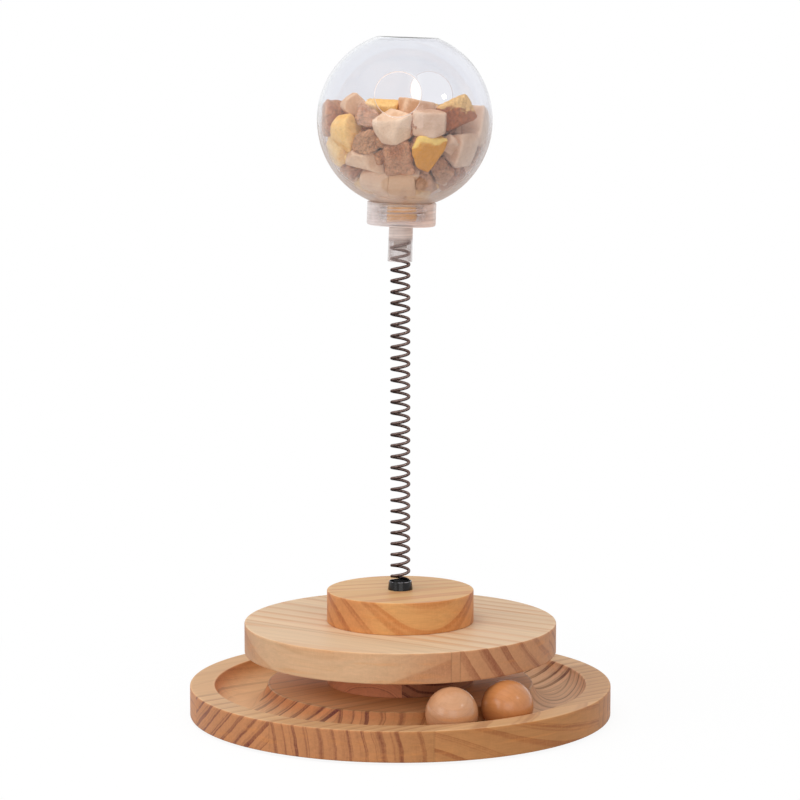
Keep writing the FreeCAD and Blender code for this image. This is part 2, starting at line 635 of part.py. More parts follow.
def treats():
    """All treats by colour: boxes cut back from one another, from the glass and at their corners."""
    layout = treat_layout()
    rand = random.Random(TREAT_SEED + 1)
    groups = {"cream": [], "yellow": [], "brown": []}
    for kind, middle, sizes, tilts, limit in layout:
        faces = block(middle, sizes, tilts)
        own = sum(sizes) / 6
        for _, other, other_sizes, _, _ in layout:
            gap = other - middle
            if 0 < gap.Length < NEIGHBOUR_REACH:
                share = 0.5 + (own ** 2 - (sum(other_sizes) / 6) ** 2) / (2 * gap.dot(gap))
                normal = FreeCAD.Vector(gap).normalize()
                faces = trimmed(faces, normal, normal.dot(middle) + share * gap.Length - TREAT_GAP / 2)
        for _ in range(CORNER_CUTS):
            way = FreeCAD.Vector(*(rand.gauss(0, 1) for _ in range(3))).normalize()
            reach = max(way.dot(p - middle) for loop in faces for p in loop)
            faces = trimmed(faces, way, way.dot(middle) + rand.uniform(*CORNER_CUT_RANGE) * reach)
        farthest = max((p for loop in faces for p in loop), key=lambda p: p.Length)
        while farthest.Length > limit:
            faces = trimmed(faces, FreeCAD.Vector(farthest).normalize(), limit - GLASS_TRIM)
            farthest = max((p for loop in faces for p in loop), key=lambda p: p.Length)
        solid = solid_of(faces)
        solid.translate(FreeCAD.Vector(0, 0, JAR_MIDDLE))
        groups[kind].append(leaned(solid))
    return groups


def main():
    os.makedirs("parts", exist_ok=True)
    shapes = {
        "foot_pads": foot_pads(),
        "base_tray": base_tray(),
        "lower_hub": lower_hub(),
        "upper_disc": upper_disc(),
        "top_hub": top_hub(),
        "track_ball_1": track_ball(0),
        "track_ball_2": track_ball(1),
        "central_bolt": central_bolt(),
        "bolt_washer": bolt_washer(),
        "spring_cup": spring_cup(),
        "cup_nut": cup_nut(),
        "spring": spring(),
        "spring_sleeve": spring_sleeve(),
        "sleeve_plug": sleeve_plug(),
        "sleeve_screw": sleeve_screw(),
        "sleeve_washer": sleeve_washer(),
        "cap": cap(),
        "neck_seal": neck_seal(),
        "treat_ball": treat_ball(),
    }
    for kind, solids in treats().items():
        shapes[f"treats_{kind}"] = Part.makeCompound(solids)
    for name, shape in shapes.items():
        shape.exportStep(f"parts/{name}.step")
        box = shape.BoundBox
        print(f"{name}: {len(shape.Solids)} solid(s), {shape.Volume:.0f} mm3, valid {shape.isValid()}, "
              f"z {box.ZMin:.2f} to {box.ZMax:.2f}")
    print(f"lean pivot z {LEAN_PIVOT:.2f}, ball middle z {JAR_MIDDLE:.2f}, spring z {SPRING_FOOT:.2f} "
          f"to {SPRING_END:.2f}, cap z {CAP_BOTTOM:.2f} to {CAP_TOP:.2f}, track radius {TRACK_RADIUS:.2f}")


main()
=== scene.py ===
# %% [markdown]
# # A treat ball that wobbles on a spring
#
# The real object is a cat toy. Two wooden balls roll in a round pine tray, and a clear ball of dried
# treats stands over them on a long spring. This lesson dresses its construction model, piece by
# piece. The construction model comes first and never moves: every piece made here takes the place of
# one of its solids, or gives that solid a better finish.
#
# Blender works in metres, a maker in millimetres. Every size of the object is written in millimetres
# below, and the one function that makes meshes turns them into metres. Only the lamps and the floor
# are given in metres.

# %% Load the construction model
import math

import bmesh
import bpy
import numpy as np
from mathutils import Matrix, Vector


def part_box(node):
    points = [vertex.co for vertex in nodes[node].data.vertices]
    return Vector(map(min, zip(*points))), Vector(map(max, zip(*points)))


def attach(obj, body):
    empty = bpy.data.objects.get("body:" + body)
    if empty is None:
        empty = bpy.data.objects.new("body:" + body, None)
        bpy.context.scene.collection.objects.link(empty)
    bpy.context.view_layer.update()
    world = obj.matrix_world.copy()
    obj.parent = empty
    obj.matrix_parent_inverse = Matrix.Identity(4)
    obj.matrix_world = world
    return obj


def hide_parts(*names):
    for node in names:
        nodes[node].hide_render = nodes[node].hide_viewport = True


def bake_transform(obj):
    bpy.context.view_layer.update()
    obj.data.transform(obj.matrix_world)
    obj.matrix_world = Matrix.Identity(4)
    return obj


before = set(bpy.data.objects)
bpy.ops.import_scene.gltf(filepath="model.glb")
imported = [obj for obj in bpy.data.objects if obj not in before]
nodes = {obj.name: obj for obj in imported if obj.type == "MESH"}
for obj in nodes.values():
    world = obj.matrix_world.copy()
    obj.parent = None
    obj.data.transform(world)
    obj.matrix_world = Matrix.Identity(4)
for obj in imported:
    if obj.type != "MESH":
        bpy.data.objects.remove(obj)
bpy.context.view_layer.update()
METRES = 0.001
print("solids:", ", ".join(sorted(nodes)))

# %% [markdown]
# ## The camera
#
# The picture was taken from a little above the tray and from far away, so upright lines stay
# upright and the round boards show as thin ovals. A long lens does that. The lens, distance and
# pitch were worked out from how flat the boards' ovals look at their different heights.

# %% Camera
CAMERA_PLACE = (-0.17, -1728.0, 409.3)
CAMERA_PITCH = 7.277  # degrees below level
LENS = 133.2

camera = bpy.data.objects.new("camera", bpy.data.cameras.new("camera"))
camera.data.lens = LENS
camera.data.sensor_width = 36.0
camera.data.clip_end = 100.0
camera.location = np.array(CAMERA_PLACE) * METRES
camera.rotation_euler = (math.radians(90 - CAMERA_PITCH), 0, 0)
bpy.context.scene.collection.objects.link(camera)
bpy.context.scene.camera = camera
print("camera", tuple(camera.location))

# %% [markdown]
# ## Shader maths that reads like sums
#
# A material in Blender is a web of nodes. Wiring each Math node by hand hides the idea behind it, so
# a small class wraps a node's output and lets `+`, `-`, `*` and `/` add the Math nodes. A second
# class holds the web of one material, or of the world, and adds any other node. Vectors and colours
# don't go through Math nodes, which would turn a colour grey, so they have functions of their own.

# %% Wires and finishes
class Wire:
    """The output of a node. Sums on it add Math nodes."""

    def __init__(self, finish, socket):
        self.finish = finish
        self.socket = socket

    def math(self, operation, *values):
        return self.finish.node("ShaderNodeMath", {"operation": operation}, values)

    def __add__(self, other):
        return self.math("ADD", self, other)

    __radd__ = __add__

    def __sub__(self, other):
        return self.math("SUBTRACT", self, other)

    def __rsub__(self, other):
        return self.math("SUBTRACT", other, self)

    def __mul__(self, other):
        return self.math("MULTIPLY", self, other)

    __rmul__ = __mul__

    def __truediv__(self, other):
        return self.math("DIVIDE", self, other)

    def __gt__(self, other):
        return self.math("GREATER_THAN", self, other)

    def root(self):
        return self.math("SQRT", self)

    def whole(self):
        return self.math("FLOOR", self)

    def size(self):
        return self.math("ABSOLUTE", self)

    def larger(self, other):
        return self.math("MAXIMUM", self, other)

    def rise(self, start, end):
        """0 before start, 1 after end, and a smooth slope between them."""
        return self.finish.node(
            "ShaderNodeMapRange", {"interpolation_type": "SMOOTHSTEP"}, {0: self, 1: start, 2: end}
        )


class Finish:
    """A material in the making, or the world where that is given."""

    def __init__(self, name, world=None):
        self.material = world or bpy.data.materials.new(name)
        self.material.use_nodes = True
        self.tree = self.material.node_tree
        self.tree.nodes.clear()

    def node(self, kind, settings=None, sockets=(), output=0):
        """Adds a node: first its settings, then the values or wires of its sockets. The result is the
        wire of one output, or nothing for a node that has none."""
        made = self.tree.nodes.new(kind)
        for name, value in (settings or {}).items():
            setattr(made, name, value)
        pairs = sockets.items() if isinstance(sockets, dict) else enumerate(sockets)
        for key, value in pairs:
            if isinstance(value, Wire):
                self.tree.links.new(value.socket, made.inputs[key])
            elif value is not None:
                made.inputs[key].default_value = value
        return None if output is None else Wire(self, made.outputs[output])

    def place(self):
        """Where a point is on the piece, in millimetres."""
        spot = self.node("ShaderNodeTexCoord", output="Object")
        return self.vector("SCALE", spot, scale=1 / METRES)

    def facing(self):
        """The direction that the surface faces."""
        return self.node("ShaderNodeTexCoord", output="Normal")

    def slant(self):
        """0 where the surface faces the eye, 1 where it is seen edge on."""
        return self.node("ShaderNodeLayerWeight", None, {"Blend": 0.5}, output="Facing")

    def rays(self, *kinds):
        """1 on a ray of one of these kinds, 0 on any other."""
        path = self.node("ShaderNodeLightPath").socket.node
        found, *others = (Wire(self, path.outputs[f"Is {kind} Ray"]) for kind in kinds)
        for other in others:
            found = found.larger(other)
        return found

    def attribute(self, name, output="Fac"):
        return self.node("ShaderNodeAttribute", {"attribute_name": name}, output=output)

    def vector(self, operation, *values, scale=None):
        sockets = dict(enumerate(values))
        if scale is not None:
            sockets["Scale"] = scale
        return self.node("ShaderNodeVectorMath", {"operation": operation}, sockets)

    def parts(self, vector):
        """The three numbers of a vector, as wires."""
        split = self.node("ShaderNodeSeparateXYZ", None, [vector]).socket.node
        return [Wire(self, output) for output in split.outputs]

    def joined(self, x, y, z):
        return self.node("ShaderNodeCombineXYZ", None, [x, y, z])

    def noise(self, place, scale, detail=2.0, roughness=0.5, distortion=0.0):
        """Soft random hills and valleys, around 0.5, with scale of them in a millimetre."""
        sockets = {
            "Vector": place, "Scale": scale, "Detail": detail,
            "Roughness": roughness, "Distortion": distortion,
        }
        return self.node("ShaderNodeTexNoise", None, sockets)

    def chance(self, number):
        """A random number between 0 and 1 that is the same wherever number is."""
        return self.node("ShaderNodeTexWhiteNoise", {"noise_dimensions": "1D"}, {"W": number})

    def mixed(self, first, second, share):
        """Two colours mixed: share 0 gives the first, 1 the second."""
        return self.node(
            "ShaderNodeMix", {"data_type": "RGBA", "clamp_factor": True},
            {0: share, 6: first, 7: second}, output=2,
        )

    def bump(self, height, millimetres):
        """A normal that leans as if the surface rose by that much where height is 1."""
        return self.node(
            "ShaderNodeBump", None, {"Strength": 1.0, "Distance": millimetres * METRES, "Height": height}
        )

    def principled(self, **sockets):
        """The main shader. A socket's name is written with _ for each space."""
        named = {name.replace("_", " "): value for name, value in sockets.items()}
        return self.node("ShaderNodeBsdfPrincipled", None, named)

    def blended(self, first, second, share):
        """Two shaders mixed: share 0 gives the first, 1 the second."""
        return self.node("ShaderNodeMixShader", None, [share, first, second])

    def ends(self, shader, output="ShaderNodeOutputMaterial"):
        """Wires the last shader to the output and hands the material back."""
        self.node(output, None, [shader], output=None)
        print(f"{self.material.name}: a finish of {len(self.tree.nodes)} nodes")
        return self.material


def tone(red, green, blue):
    """A colour as a picture shows it, 0 to 255, as the linear colour that shaders use."""
    shown = np.array([red, green, blue]) / 255
    linear = np.where(shown <= 0.04045, shown / 12.92, ((shown + 0.055) / 1.055) ** 2.4)
    return (*linear.tolist(), 1.0)


# %% [markdown]
# ## Light and floor
#
# Soft light from a big lamp above and weaker ones at the left, the right and the front leaves only
# soft shadows. Two small lamps make the bright spots on the clear plastic. The lamps are set so that
# a colour renders about as it is written. The white around the object is not more light: the world
# and the floor simply look white to the camera, to reflections and to rays that pass through clear
# plastic, and the floor keeps a little of the object's shadow.

# %% Lamps
def lamp(name, place, target, size, watts):
    """A square soft lamp at a place in metres, turned to a target."""
    data = bpy.data.lights.new(name, "AREA")
    data.energy = watts
    data.size = size
    made = bpy.data.objects.new(name, data)
    made.location = place
    bpy.context.scene.collection.objects.link(made)
    back = np.array(place) - np.array(target)
    back = back / np.linalg.norm(back)
    side = np.cross((0, 0, 1), back)
    side = side / np.linalg.norm(side)
    axes = np.stack([side, np.cross(back, side), back, place], axis=1)
    made.matrix_world = Matrix([*axes.tolist(), [0, 0, 0, 1]])
    made.visible_transmission = False
    print(f"{name}: {watts} watts, {size} metres wide")
    return made


TARGET = (0.0, 0.0, 0.15)
above = lamp("lamp_above", (-0.35, -0.45, 2.0), TARGET, 1.5, 23.0)
above.visible_glossy = False
lamp("lamp_left", (-1.8, -1.5, 0.72), TARGET, 1.2, 8.5)
lamp("lamp_right", (1.6, -1.7, 0.9), TARGET, 1.2, 1.0)
lamp("lamp_front", (0.25, -2.3, 0.5), TARGET, 1.5, 9.0)
lamp("lamp_spark", (-0.4, -1.5, 1.0), TARGET, 0.16, 0.35)
lamp("lamp_glare", (1.15, -0.72, 1.05), (0.0, 0.0, 0.35), 0.16, 1.0)

# %% World
AMBIENT = 0.47
WHITE = (1, 1, 1, 1)

world = bpy.data.worlds.new("world")
bpy.context.scene.world = world
air = Finish("air", world)
shown = air.rays("Camera", "Glossy", "Transmission")
sky = air.node("ShaderNodeBackground", None, {"Color": WHITE, "Strength": shown * (1 - AMBIENT) + AMBIENT})
air.ends(sky, "ShaderNodeOutputWorld")

# %% Floor
FLOOR_HALF = 6.0
SHADOW_SHARE = 0.08  # how much of a real shadow the floor shows
SHADOW_FADE = (140, 340)  # from the first distance to the second it fades out

floor_mesh = bpy.data.meshes.new("floor")
floor_mesh.from_pydata(
    [(x * FLOOR_HALF, y * FLOOR_HALF, 0) for x, y in ((-1, -1), (1, -1), (1, 1), (-1, 1))],
    [], [(0, 1, 2, 3)],
)
floor = bpy.data.objects.new("floor", floor_mesh)
bpy.context.scene.collection.objects.link(floor)

white = Finish("floor")
shown = white.rays("Camera", "Glossy", "Transmission")
x, y, z = white.parts(white.place())
keep = (1 - (x * x + y * y).root().rise(*SHADOW_FADE)) * SHADOW_SHARE
plain = white.node("ShaderNodeBsdfDiffuse", None, {"Color": WHITE})
pale = white.node("ShaderNodeBsdfDiffuse", None, {"Color": (0.7, 0.7, 0.7, 1)})
glow = white.node("ShaderNodeEmission", None, {"Color": WHITE, "Strength": 1.0})
floor_mesh.materials.append(white.ends(white.blended(pale, white.blended(glow, plain, keep), shown)))

# %% [markdown]
# ## How pieces are made
#
# Nearly every piece here was turned on a lathe or moulded round, so its shape is an outline carried
# round an axis. The outline is a row of (radius, height) points with its corners rounded, and the
# surface is worked out as one array of points: outline steps one way, bearings the other. Close
# support points beside each rounded corner keep the flat faces flat in the shading.

# %% Meshes from arrays
SAME_PLACE = 2e-7  # metres: nearer points are one point, such as a pole


def quads(rows, columns):
    """The four corners of every cell of a grid of points that closes on itself sideways."""
    start = np.arange(rows - 1)[:, None] * columns + np.arange(columns)[None, :]
    beside = np.arange(rows - 1)[:, None] * columns + (np.arange(columns)[None, :] + 1) % columns
    return np.stack([start, beside, beside + columns, start + columns], -1).reshape(-1, 4)


def volume(points, faces):
    """Six times the volume that four-cornered faces close in: the sum over triangles of the
    product of one corner with the cross product of the others."""
    a, b, c, d = (points[faces[:, k]] for k in range(4))
    return np.sum(a * np.cross(b, c)) + np.sum(a * np.cross(c, d))


def put(name, points, faces, finish, attributes=None):
    """Makes a piece from an array of points in millimetres and an array of faces."""
    if volume(points, faces) < 0:
        faces = faces[:, ::-1]
    mesh = bpy.data.meshes.new(name)
    mesh.from_pydata(points * METRES, [], faces)
    for label, values in (attributes or {}).items():
        kind, field = ("FLOAT_VECTOR", "vector") if values.ndim == 2 else ("FLOAT", "value")
        layer = mesh.attributes.new(label, kind, "POINT")
        layer.data.foreach_set(field, values.astype(np.float32).ravel())
    poles = bmesh.new()
    poles.from_mesh(mesh)
    bmesh.ops.remove_doubles(poles, verts=poles.verts, dist=SAME_PLACE)
    poles.to_mesh(mesh)
    poles.free()
    mesh.shade_smooth()
    mesh.materials.append(finish)
    made = bpy.data.objects.new(name, mesh)
    bpy.context.scene.collection.objects.link(made)
    print(f"{name}: {len(mesh.vertices)} points, {len(mesh.polygons)} faces")
    return made


def stands_for(made, body, node):
    """The piece moves with a body and is shown instead of a solid of the construction model."""
    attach(made, body)
    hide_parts(node)


# %% Outlines
ROUND_STEPS = 6


def curve(corner, to_start, to_end):
    """The line c + a (1 - t)^2 + b t^2, for t from 0 to 1, which rounds the corner c off."""
    t = np.linspace(0, 1, ROUND_STEPS + 1)[:, None]
    return corner[..., None, :] + to_start[..., None, :] * (1 - t) ** 2 + to_end[..., None, :] * t ** 2


def rounded(corners):
    """A closed outline whose corners are rounded, as one array for each corner. A corner is (radius,
    height, size), and its size is how far from it the round starts and ends."""
    corners = np.array(corners, float)
    spots, sizes = corners[:, :2], corners[:, 2:]
    before, after = np.roll(spots, 1, 0) - spots, np.roll(spots, -1, 0) - spots
    before /= np.linalg.norm(before, axis=1)[:, None]
    after /= np.linalg.norm(after, axis=1)[:, None]
    support = 1.3 * sizes + 0.02
    lead, trail = (spots + before * support)[:, None], (spots + after * support)[:, None]
    return np.concatenate([lead, curve(spots, before * sizes, after * sizes), trail], axis=1)


def closed(*parts):
    """The parts of an outline end to end, with its first point again at the end."""
    outline = np.vstack(parts)
    return np.vstack([outline, outline[:1]])


def around(outline, columns):
    """The outline carried round the upright axis: (r cos a, r sin a, z) for bearings a."""
    bearing = np.linspace(0, 2 * np.pi, columns, endpoint=False)[None, :]
    radius, height = outline[:, :1], outline[:, 1:]
    return np.stack([radius * np.cos(bearing), radius * np.sin(bearing), height + 0 * bearing], -1)


def turned(name, corners, columns, finish, change=lambda points: points):
    """A turned piece with a closed outline. The change, if any, moves its points."""
    outline = closed(*rounded(corners))
    shape = change(around(outline, columns))
    return put(name, shape.reshape(-1, 3), quads(len(outline), columns), finish)


# %% [markdown]
# ## Pine
#
# Pine shows its growth rings: wide pale wood from spring, ending in a thin dark line from summer.
# A ring is a cylinder round the tree's middle, so the pattern is worked out in space, not painted on
# the surface. The same rings then show as stripes on the end grain at a board's edge, as arches on
# its long grain and as streaks on top, and they meet at the corners as they do in real wood.
#
# Each board is glued up from staves that were cut from different places in a tree. A stave is a
# range of the direction across the grain, with its own tree middle, ring width and tint. The glue
# lines come from the jump between two staves.

# %% Growth rings
def stepped(finish, across, staves, column):
    """A number that changes from stave to stave: the first value, plus each change times a step."""
    values = [stave[column] for stave in staves]
    total = values[0]
    for stave, last, value in zip(staves, values, values[1:]):
        if value != last:
            total = (across > stave[0]) * (value - last) + total
    return total


def growth_rings(finish, along, across, up, tree, summer, seed, wander, half):
    """How dark the wood is, from 0 to 1. The ring number is the distance from the tree's middle
    divided by the ring width, plus the stave's start. Through each ring the wood darkens, slowly and
    then in a band, and some rings have a faint line halfway. With a negative ring width the bands lie
    on the rings' inner side."""
    middle_across, middle_up, width, first, run_across, run_up = tree
    slow = finish.joined(across * 0.018 + seed, up * 0.018, along * 0.006)
    drift = finish.noise(slow, 1.0, detail=1.0)
    ripple = finish.noise(finish.joined(across * 0.12, up * 0.12 + seed, along * 0.02), 1.0, detail=2.0)
    sideways = across - middle_across - along * run_across + (drift - 0.5) * wander
    upward = up - middle_up - along * run_up
    count = ((sideways * sideways + upward * upward).root() + (ripple - 0.5) * 1.6) / width + first
    uneven = finish.node(
        "ShaderNodeTexNoise", {"noise_dimensions": "1D"}, {"W": count * 0.9 + seed, "Detail": 1.0}
    )
    count = count + (uneven - 0.5) * 0.5
    ring = count.whole()
    phase = count - ring
    luck = finish.chance(ring + seed * 3.7)
    other_luck = finish.chance(ring + seed * 9.1)
    start = 1 - summer * (luck * 0.9 + 0.75)
    half_line = phase.rise(0.36, 0.42) * (1 - phase.rise(0.44, 0.5)) * other_luck.rise(0.3, 0.9) * half
    band = phase.rise(start, 0.86).larger(half_line) * (luck * 0.35 + 0.65) + phase.rise(0.2, 0.85) * 0.25
    fade = finish.noise(finish.joined(across * 0.03 + seed, up * 0.03, along * 0.025), 1.0, detail=1.0)
    return band * (1 - phase.rise(0.9, 1.0)) * (fade.rise(0.3, 0.6) * 0.35 + 0.7)


# %% [markdown]
# The same finish serves every wooden piece. On the rings come fine fibres, streaks, soft clouds, the
# glue lines, edges painted paler, partly as wear and partly as a painted highlight, and a paler top,
# partly sanded wood and partly a painted sheen. The tray's groove and flat middle, which the upper
# board shades, are painted brighter as painted light, the groove's right wall takes a painted pale
# sheen, and the flat middle has paler rings.

# %% Pine finish
def wood(
    name, grain, staves, colours, seed, edge=(), fibre=1.0, blotch=0.06, wander=3.0, glue=0.1, half=0.55,
    rough=0.52, shine=0.25, painted_groove_light=None,
):
    """Wood of glued staves. The colours are early wood and summer wood on long grain, then the same
    two on end grain, then the paler tone on top, partly sanded wood and partly a painted sheen. An
    edge is the (radius, height) of a rim that is painted paler, partly as wear and partly as a painted
    highlight. fibre, blotch, wander, glue and half say how strong the fibres, the clouds, the rings'
    waves, the glue lines and the faint lines in the rings are. The last argument, if given, holds the
    groove's outer and inner radius, how much brighter the groove and the middle are painted, as
    painted light where the upper board shades them, and the colour of the painted pale sheen that the
    groove takes on its right."""
    finish = Finish(name)
    early, late, end_early, end_late, paler_top_and_sheen = colours
    x, y, z = finish.parts(finish.place())
    c, s = math.cos(math.radians(grain)), math.sin(math.radians(grain))
    along = x * c + y * s
    across = y * c - x * s
    *tree, tint, summer, depth, dust_and_painted_light = (stepped(finish, across, staves, column) for column in range(1, 11))
    dark = growth_rings(finish, along, across, z, tree, summer, seed, wander, half) * depth

    nx, ny, nz = finish.parts(finish.facing())
    end_grain = nx * c + ny * s
    end_grain = end_grain * end_grain
    cut = end_grain.rise(0.05, 0.7)
    side = 1 - (nz * nz).rise(0.1, 0.5)

    fine = finish.noise(
        finish.joined(across * 0.9, z * 0.9, along * 0.03), 1.0, detail=4.0, roughness=0.7
    )
    streak = finish.noise(finish.joined(across * 0.35, z * 0.35, along * 0.012 + seed), 1.0, detail=2.0)
    cloud = finish.noise(finish.joined(across * 0.03, z * 0.03 + seed, along * 0.01), 1.0, detail=1.0)
    tick = finish.noise(finish.joined(x * 1.5, y * 1.5, z * 0.22), 1.0, detail=3.0, roughness=0.6)
    warm = finish.noise(finish.joined(across * 0.05, z * 0.25, along * 0.03 + seed), 1.0, detail=2.0)

    dark = dark * (1 - (fine + tick * side - 0.75).rise(0.0, 0.6) * 0.35)
    # painted sheen: faces turned up take the paler tone, partly sanded wood and partly a painted reflection
    # of the bright room; each stave sets its own share
    top = nz.rise(0.3, 0.95) * dust_and_painted_light
    radius = (x * x + y * y).root()
    # painted light: the groove and the flat middle, in the upper board's shadow, are painted brighter, the
    # groove's right wall takes a painted pale sheen, the middle's rings are paler, and the painted sheen on
    # top is weaker there
    if painted_groove_light:
        groove_outer, groove_inner, groove_painted_gain, middle_painted_gain, painted_sheen_tone = painted_groove_light
        in_middle = 1 - radius.rise(groove_inner - 2, groove_inner)
        top = top * (1 - (1 - radius.rise(45, groove_inner)) * 0.7)
    pale_wood = finish.mixed(finish.mixed(early, end_early, cut), paler_top_and_sheen, top)
    if painted_groove_light:
        more = radius.rise(40, groove_inner) * 0.35 + middle_painted_gain - 0.15 - groove_painted_gain
        painted_light_gain = in_middle * more + groove_painted_gain - 1
        turned_in = z.rise(4, 5) * (1 - radius.rise(groove_outer - 1, groove_outer + 1))
        pale_wood = finish.vector("SCALE", pale_wood, scale=turned_in * painted_light_gain + 1)
        pale_wood = finish.mixed(pale_wood, painted_sheen_tone, turned_in * (1 - in_middle) * x.rise(40, 90) * 0.75)
        dark = dark * (1 - in_middle * 0.72)
    dark_wood = finish.mixed(finish.mixed(late, end_late, cut), paler_top_and_sheen, top * 0.6)
    colour = finish.mixed(pale_wood, dark_wood, dark)
    colour = finish.mixed(colour, tone(222, 146, 78), warm.rise(0.52, 0.75) * side * 0.3)
    shade = (
        tint + (fine - 0.5) * 0.3 * fibre + (streak - 0.5) * 0.24 * fibre + (cloud - 0.5) * blotch * 2
        + (tick - 0.5) * side * 0.13 * fibre
    )
    for stave in staves[:-1]:
        shade = shade - (1 - (across - stave[0]).size().rise(0.1, 0.5)) * glue
    # painted highlight: the wood along each listed rim is painted paler, partly as wear and partly as a
    # highlight on the edge
    clear_of_worn_highlit_edge = 1.0
    for edge_radius, edge_height in edge:
        reach, lift = radius - edge_radius, z - edge_height
        clear_of_worn_highlit_edge = (reach * reach + lift * lift).root().rise(0.5, 1.8) * clear_of_worn_highlit_edge
    if edge:
        shade = shade + (1 - clear_of_worn_highlit_edge) * 0.09
    return finish.ends(finish.principled(
        Base_Color=finish.vector("SCALE", colour, scale=shade),
        Roughness=(fine - 0.5) * 0.15 - dark * 0.06 + rough,
        Normal=finish.bump(fine * 0.6 + dark * 0.5 * (1 - end_grain), 0.05),
        Specular_IOR_Level=shine,
    ))


# %% [markdown]
# A stave is a row of eleven numbers: how far across the board it reaches, the tree's middle across
# and up, the ring width, the first ring's number, how much the tree's middle runs across and up along
# the grain, the tint, the share of summer wood in a ring, the depth of its colour, and the share of
# the paler tone on top, which is partly sanded wood and partly a painted sheen.

# %% Staves
TRAY_GRAIN = 38.0
TRAY_STAVES = [
    (-109, -100, -32, 9.0, 0.76, 0.03, -0.23, 0.97, 0.36, 0.75, 0.45),
    (-34, 40, -5, 6.7, 0.1, 0.0, 0.0, 0.89, 0.34, 0.76, 0.38),
    (43, 164, 204, 7.1, 0.7, 0.0, 0.0, 0.95, 0.4, 1.0, 0.6),
    (119, 60, -60, 5.5, 0.0, 0.03, 0.02, 1.01, 0.3, 0.34, 0.52),
    (300, 160, 60, 6.0, 0.0, 0.02, 0.02, 0.99, 0.3, 0.8, 0.58),
]
DISC_GRAIN = -35.0
DISC_STAVES = [
    (-55.4, -8.0, -63.8, 22.0, 0.07, 0.12, 0.0, 1.0, 0.42, 0.45, 0.35),
    (-50.9, -60, -20, 200.0, 0.0, 0.0, 0.0, 0.97, 0.1, 0.5, 0.3),
    (24, 46.7, 101, -11.3, 0.31, 0.0, 0.0, 1.04, 0.3, 0.68, 0.4),
    (300, -60, -80, 7.0, 0.0, 0.02, 0.02, 1.02, 0.25, 0.8, 0.4),
]
HUB_GRAIN = 14.0
HUB_STAVES = [
    (1.5, 25.5, 18, 11.2, 0.73, 0.12, -0.08, 1.0, 0.42, 0.7, 0.3),
    (300, -60, 20, 9.0, 0.0, 0.02, 0.02, 1.03, 0.2, 0.8, 0.4),
]
BLOCK_GRAIN = 78.0
BLOCK_STAVES = [
    # painted shade: the block's first stave, on its right, is painted much darker (tint 0.67) and the
    # other, on its left, lighter (tint 1.14), as shade and light from the left
    (-10, -34, 60, 5.2, 0.2, 0.0, 0.0, 0.67, 0.45, 0.95, 0.2),
    (300, 10, 0, 10.0, 0.3, 0.02, 0.0, 1.14, 0.3, 0.6, 0.3),
]
print(len(TRAY_STAVES), "staves in the tray and", len(DISC_STAVES), "in the upper board")

# %% [markdown]
# ## The tray
#
# The tray is a glued pine board, turned round, with a ball-nose groove that the wooden balls roll
# in. Its outline is a disc's with an arc cut out, and a recess below for the bolt's head. The balls
# touch only the groove's bottom.

# %% Tray
FLOOR_GAP = 1.5
TRAY_RADIUS = 125.0
TRAY_TOP = 19.5
GROOVE_FLOOR = 6.2
GROOVE_RADIUS = 16.0
RIM_WIDTH = 14.7
EDGE_ROUND = 0.9
BOLT_HOLE = 3.3
RECESS_RADIUS = 10.0
RECESS_TOP = 8.1

HALF_WIDTH = math.sqrt(GROOVE_RADIUS ** 2 - (GROOVE_RADIUS - TRAY_TOP + GROOVE_FLOOR) ** 2)
TRACK_RADIUS = TRAY_RADIUS - RIM_WIDTH - HALF_WIDTH
GROOVE_MIDDLE = GROOVE_FLOOR + GROOVE_RADIUS
LIP_TURN = math.asin(HALF_WIDTH / GROOVE_RADIUS) - EDGE_ROUND / GROOVE_RADIUS


def groove(turn):
    """The groove's arc: (r sin a, z - r cos a), counted from the track's radius."""
    return np.stack([GROOVE_RADIUS * np.sin(turn), GROOVE_MIDDLE - GROOVE_RADIUS * np.cos(turn)], -1)


# the rounded edge between the rim and the groove starts on the flat and ends on the arc
lip_corner = np.array([HALF_WIDTH, TRAY_TOP])
lip = curve(lip_corner, np.array([EDGE_ROUND, 0.0]), groove(LIP_TURN) - lip_corner)
bottom_arc = groove(np.linspace(LIP_TURN, -LIP_TURN, 41)[1:-1])
track = np.vstack([lip, bottom_arc, lip[::-1] * [-1, 1]]) + [TRACK_RADIUS, 0]
outer = rounded([
    (RECESS_RADIUS, FLOOR_GAP, 0.3), (TRAY_RADIUS, FLOOR_GAP, EDGE_ROUND),
    (TRAY_RADIUS, TRAY_TOP, EDGE_ROUND), (0, TRAY_TOP, 0),
])
inner = rounded([
    (BOLT_HOLE, TRAY_TOP, 0.2), (BOLT_HOLE, RECESS_TOP, 0.2), (RECESS_RADIUS, RECESS_TOP, 0.2),
    (RECESS_RADIUS, FLOOR_GAP, 0),
])
# the corners that are left out only give the others their direction
outline = closed(*outer[:3], track, *inner[:3])

COLUMNS = 256
pine_tray = wood(
    "pine_tray", TRAY_GRAIN, TRAY_STAVES, [
        tone(188, 130, 78), tone(156, 90, 46), tone(200, 136, 89), tone(116, 54, 42), tone(226, 193, 151),
    ], seed=1.3,
    edge=[(TRAY_RADIUS, TRAY_TOP), (TRACK_RADIUS + HALF_WIDTH, TRAY_TOP)],
    # painted light: the groove is painted 1.25 times and the middle 1.42 times brighter where the upper
    # board shades them, and this pale tone is the groove's painted sheen on its right
    painted_groove_light=(TRACK_RADIUS + HALF_WIDTH, TRACK_RADIUS - HALF_WIDTH, 1.25, 1.42, tone(252, 211, 172)),
)
shape = around(outline, COLUMNS)
tray = put("base_tray_turned", shape.reshape(-1, 3), quads(len(outline), COLUMNS), pine_tray)
stands_for(tray, "base", "base_tray")

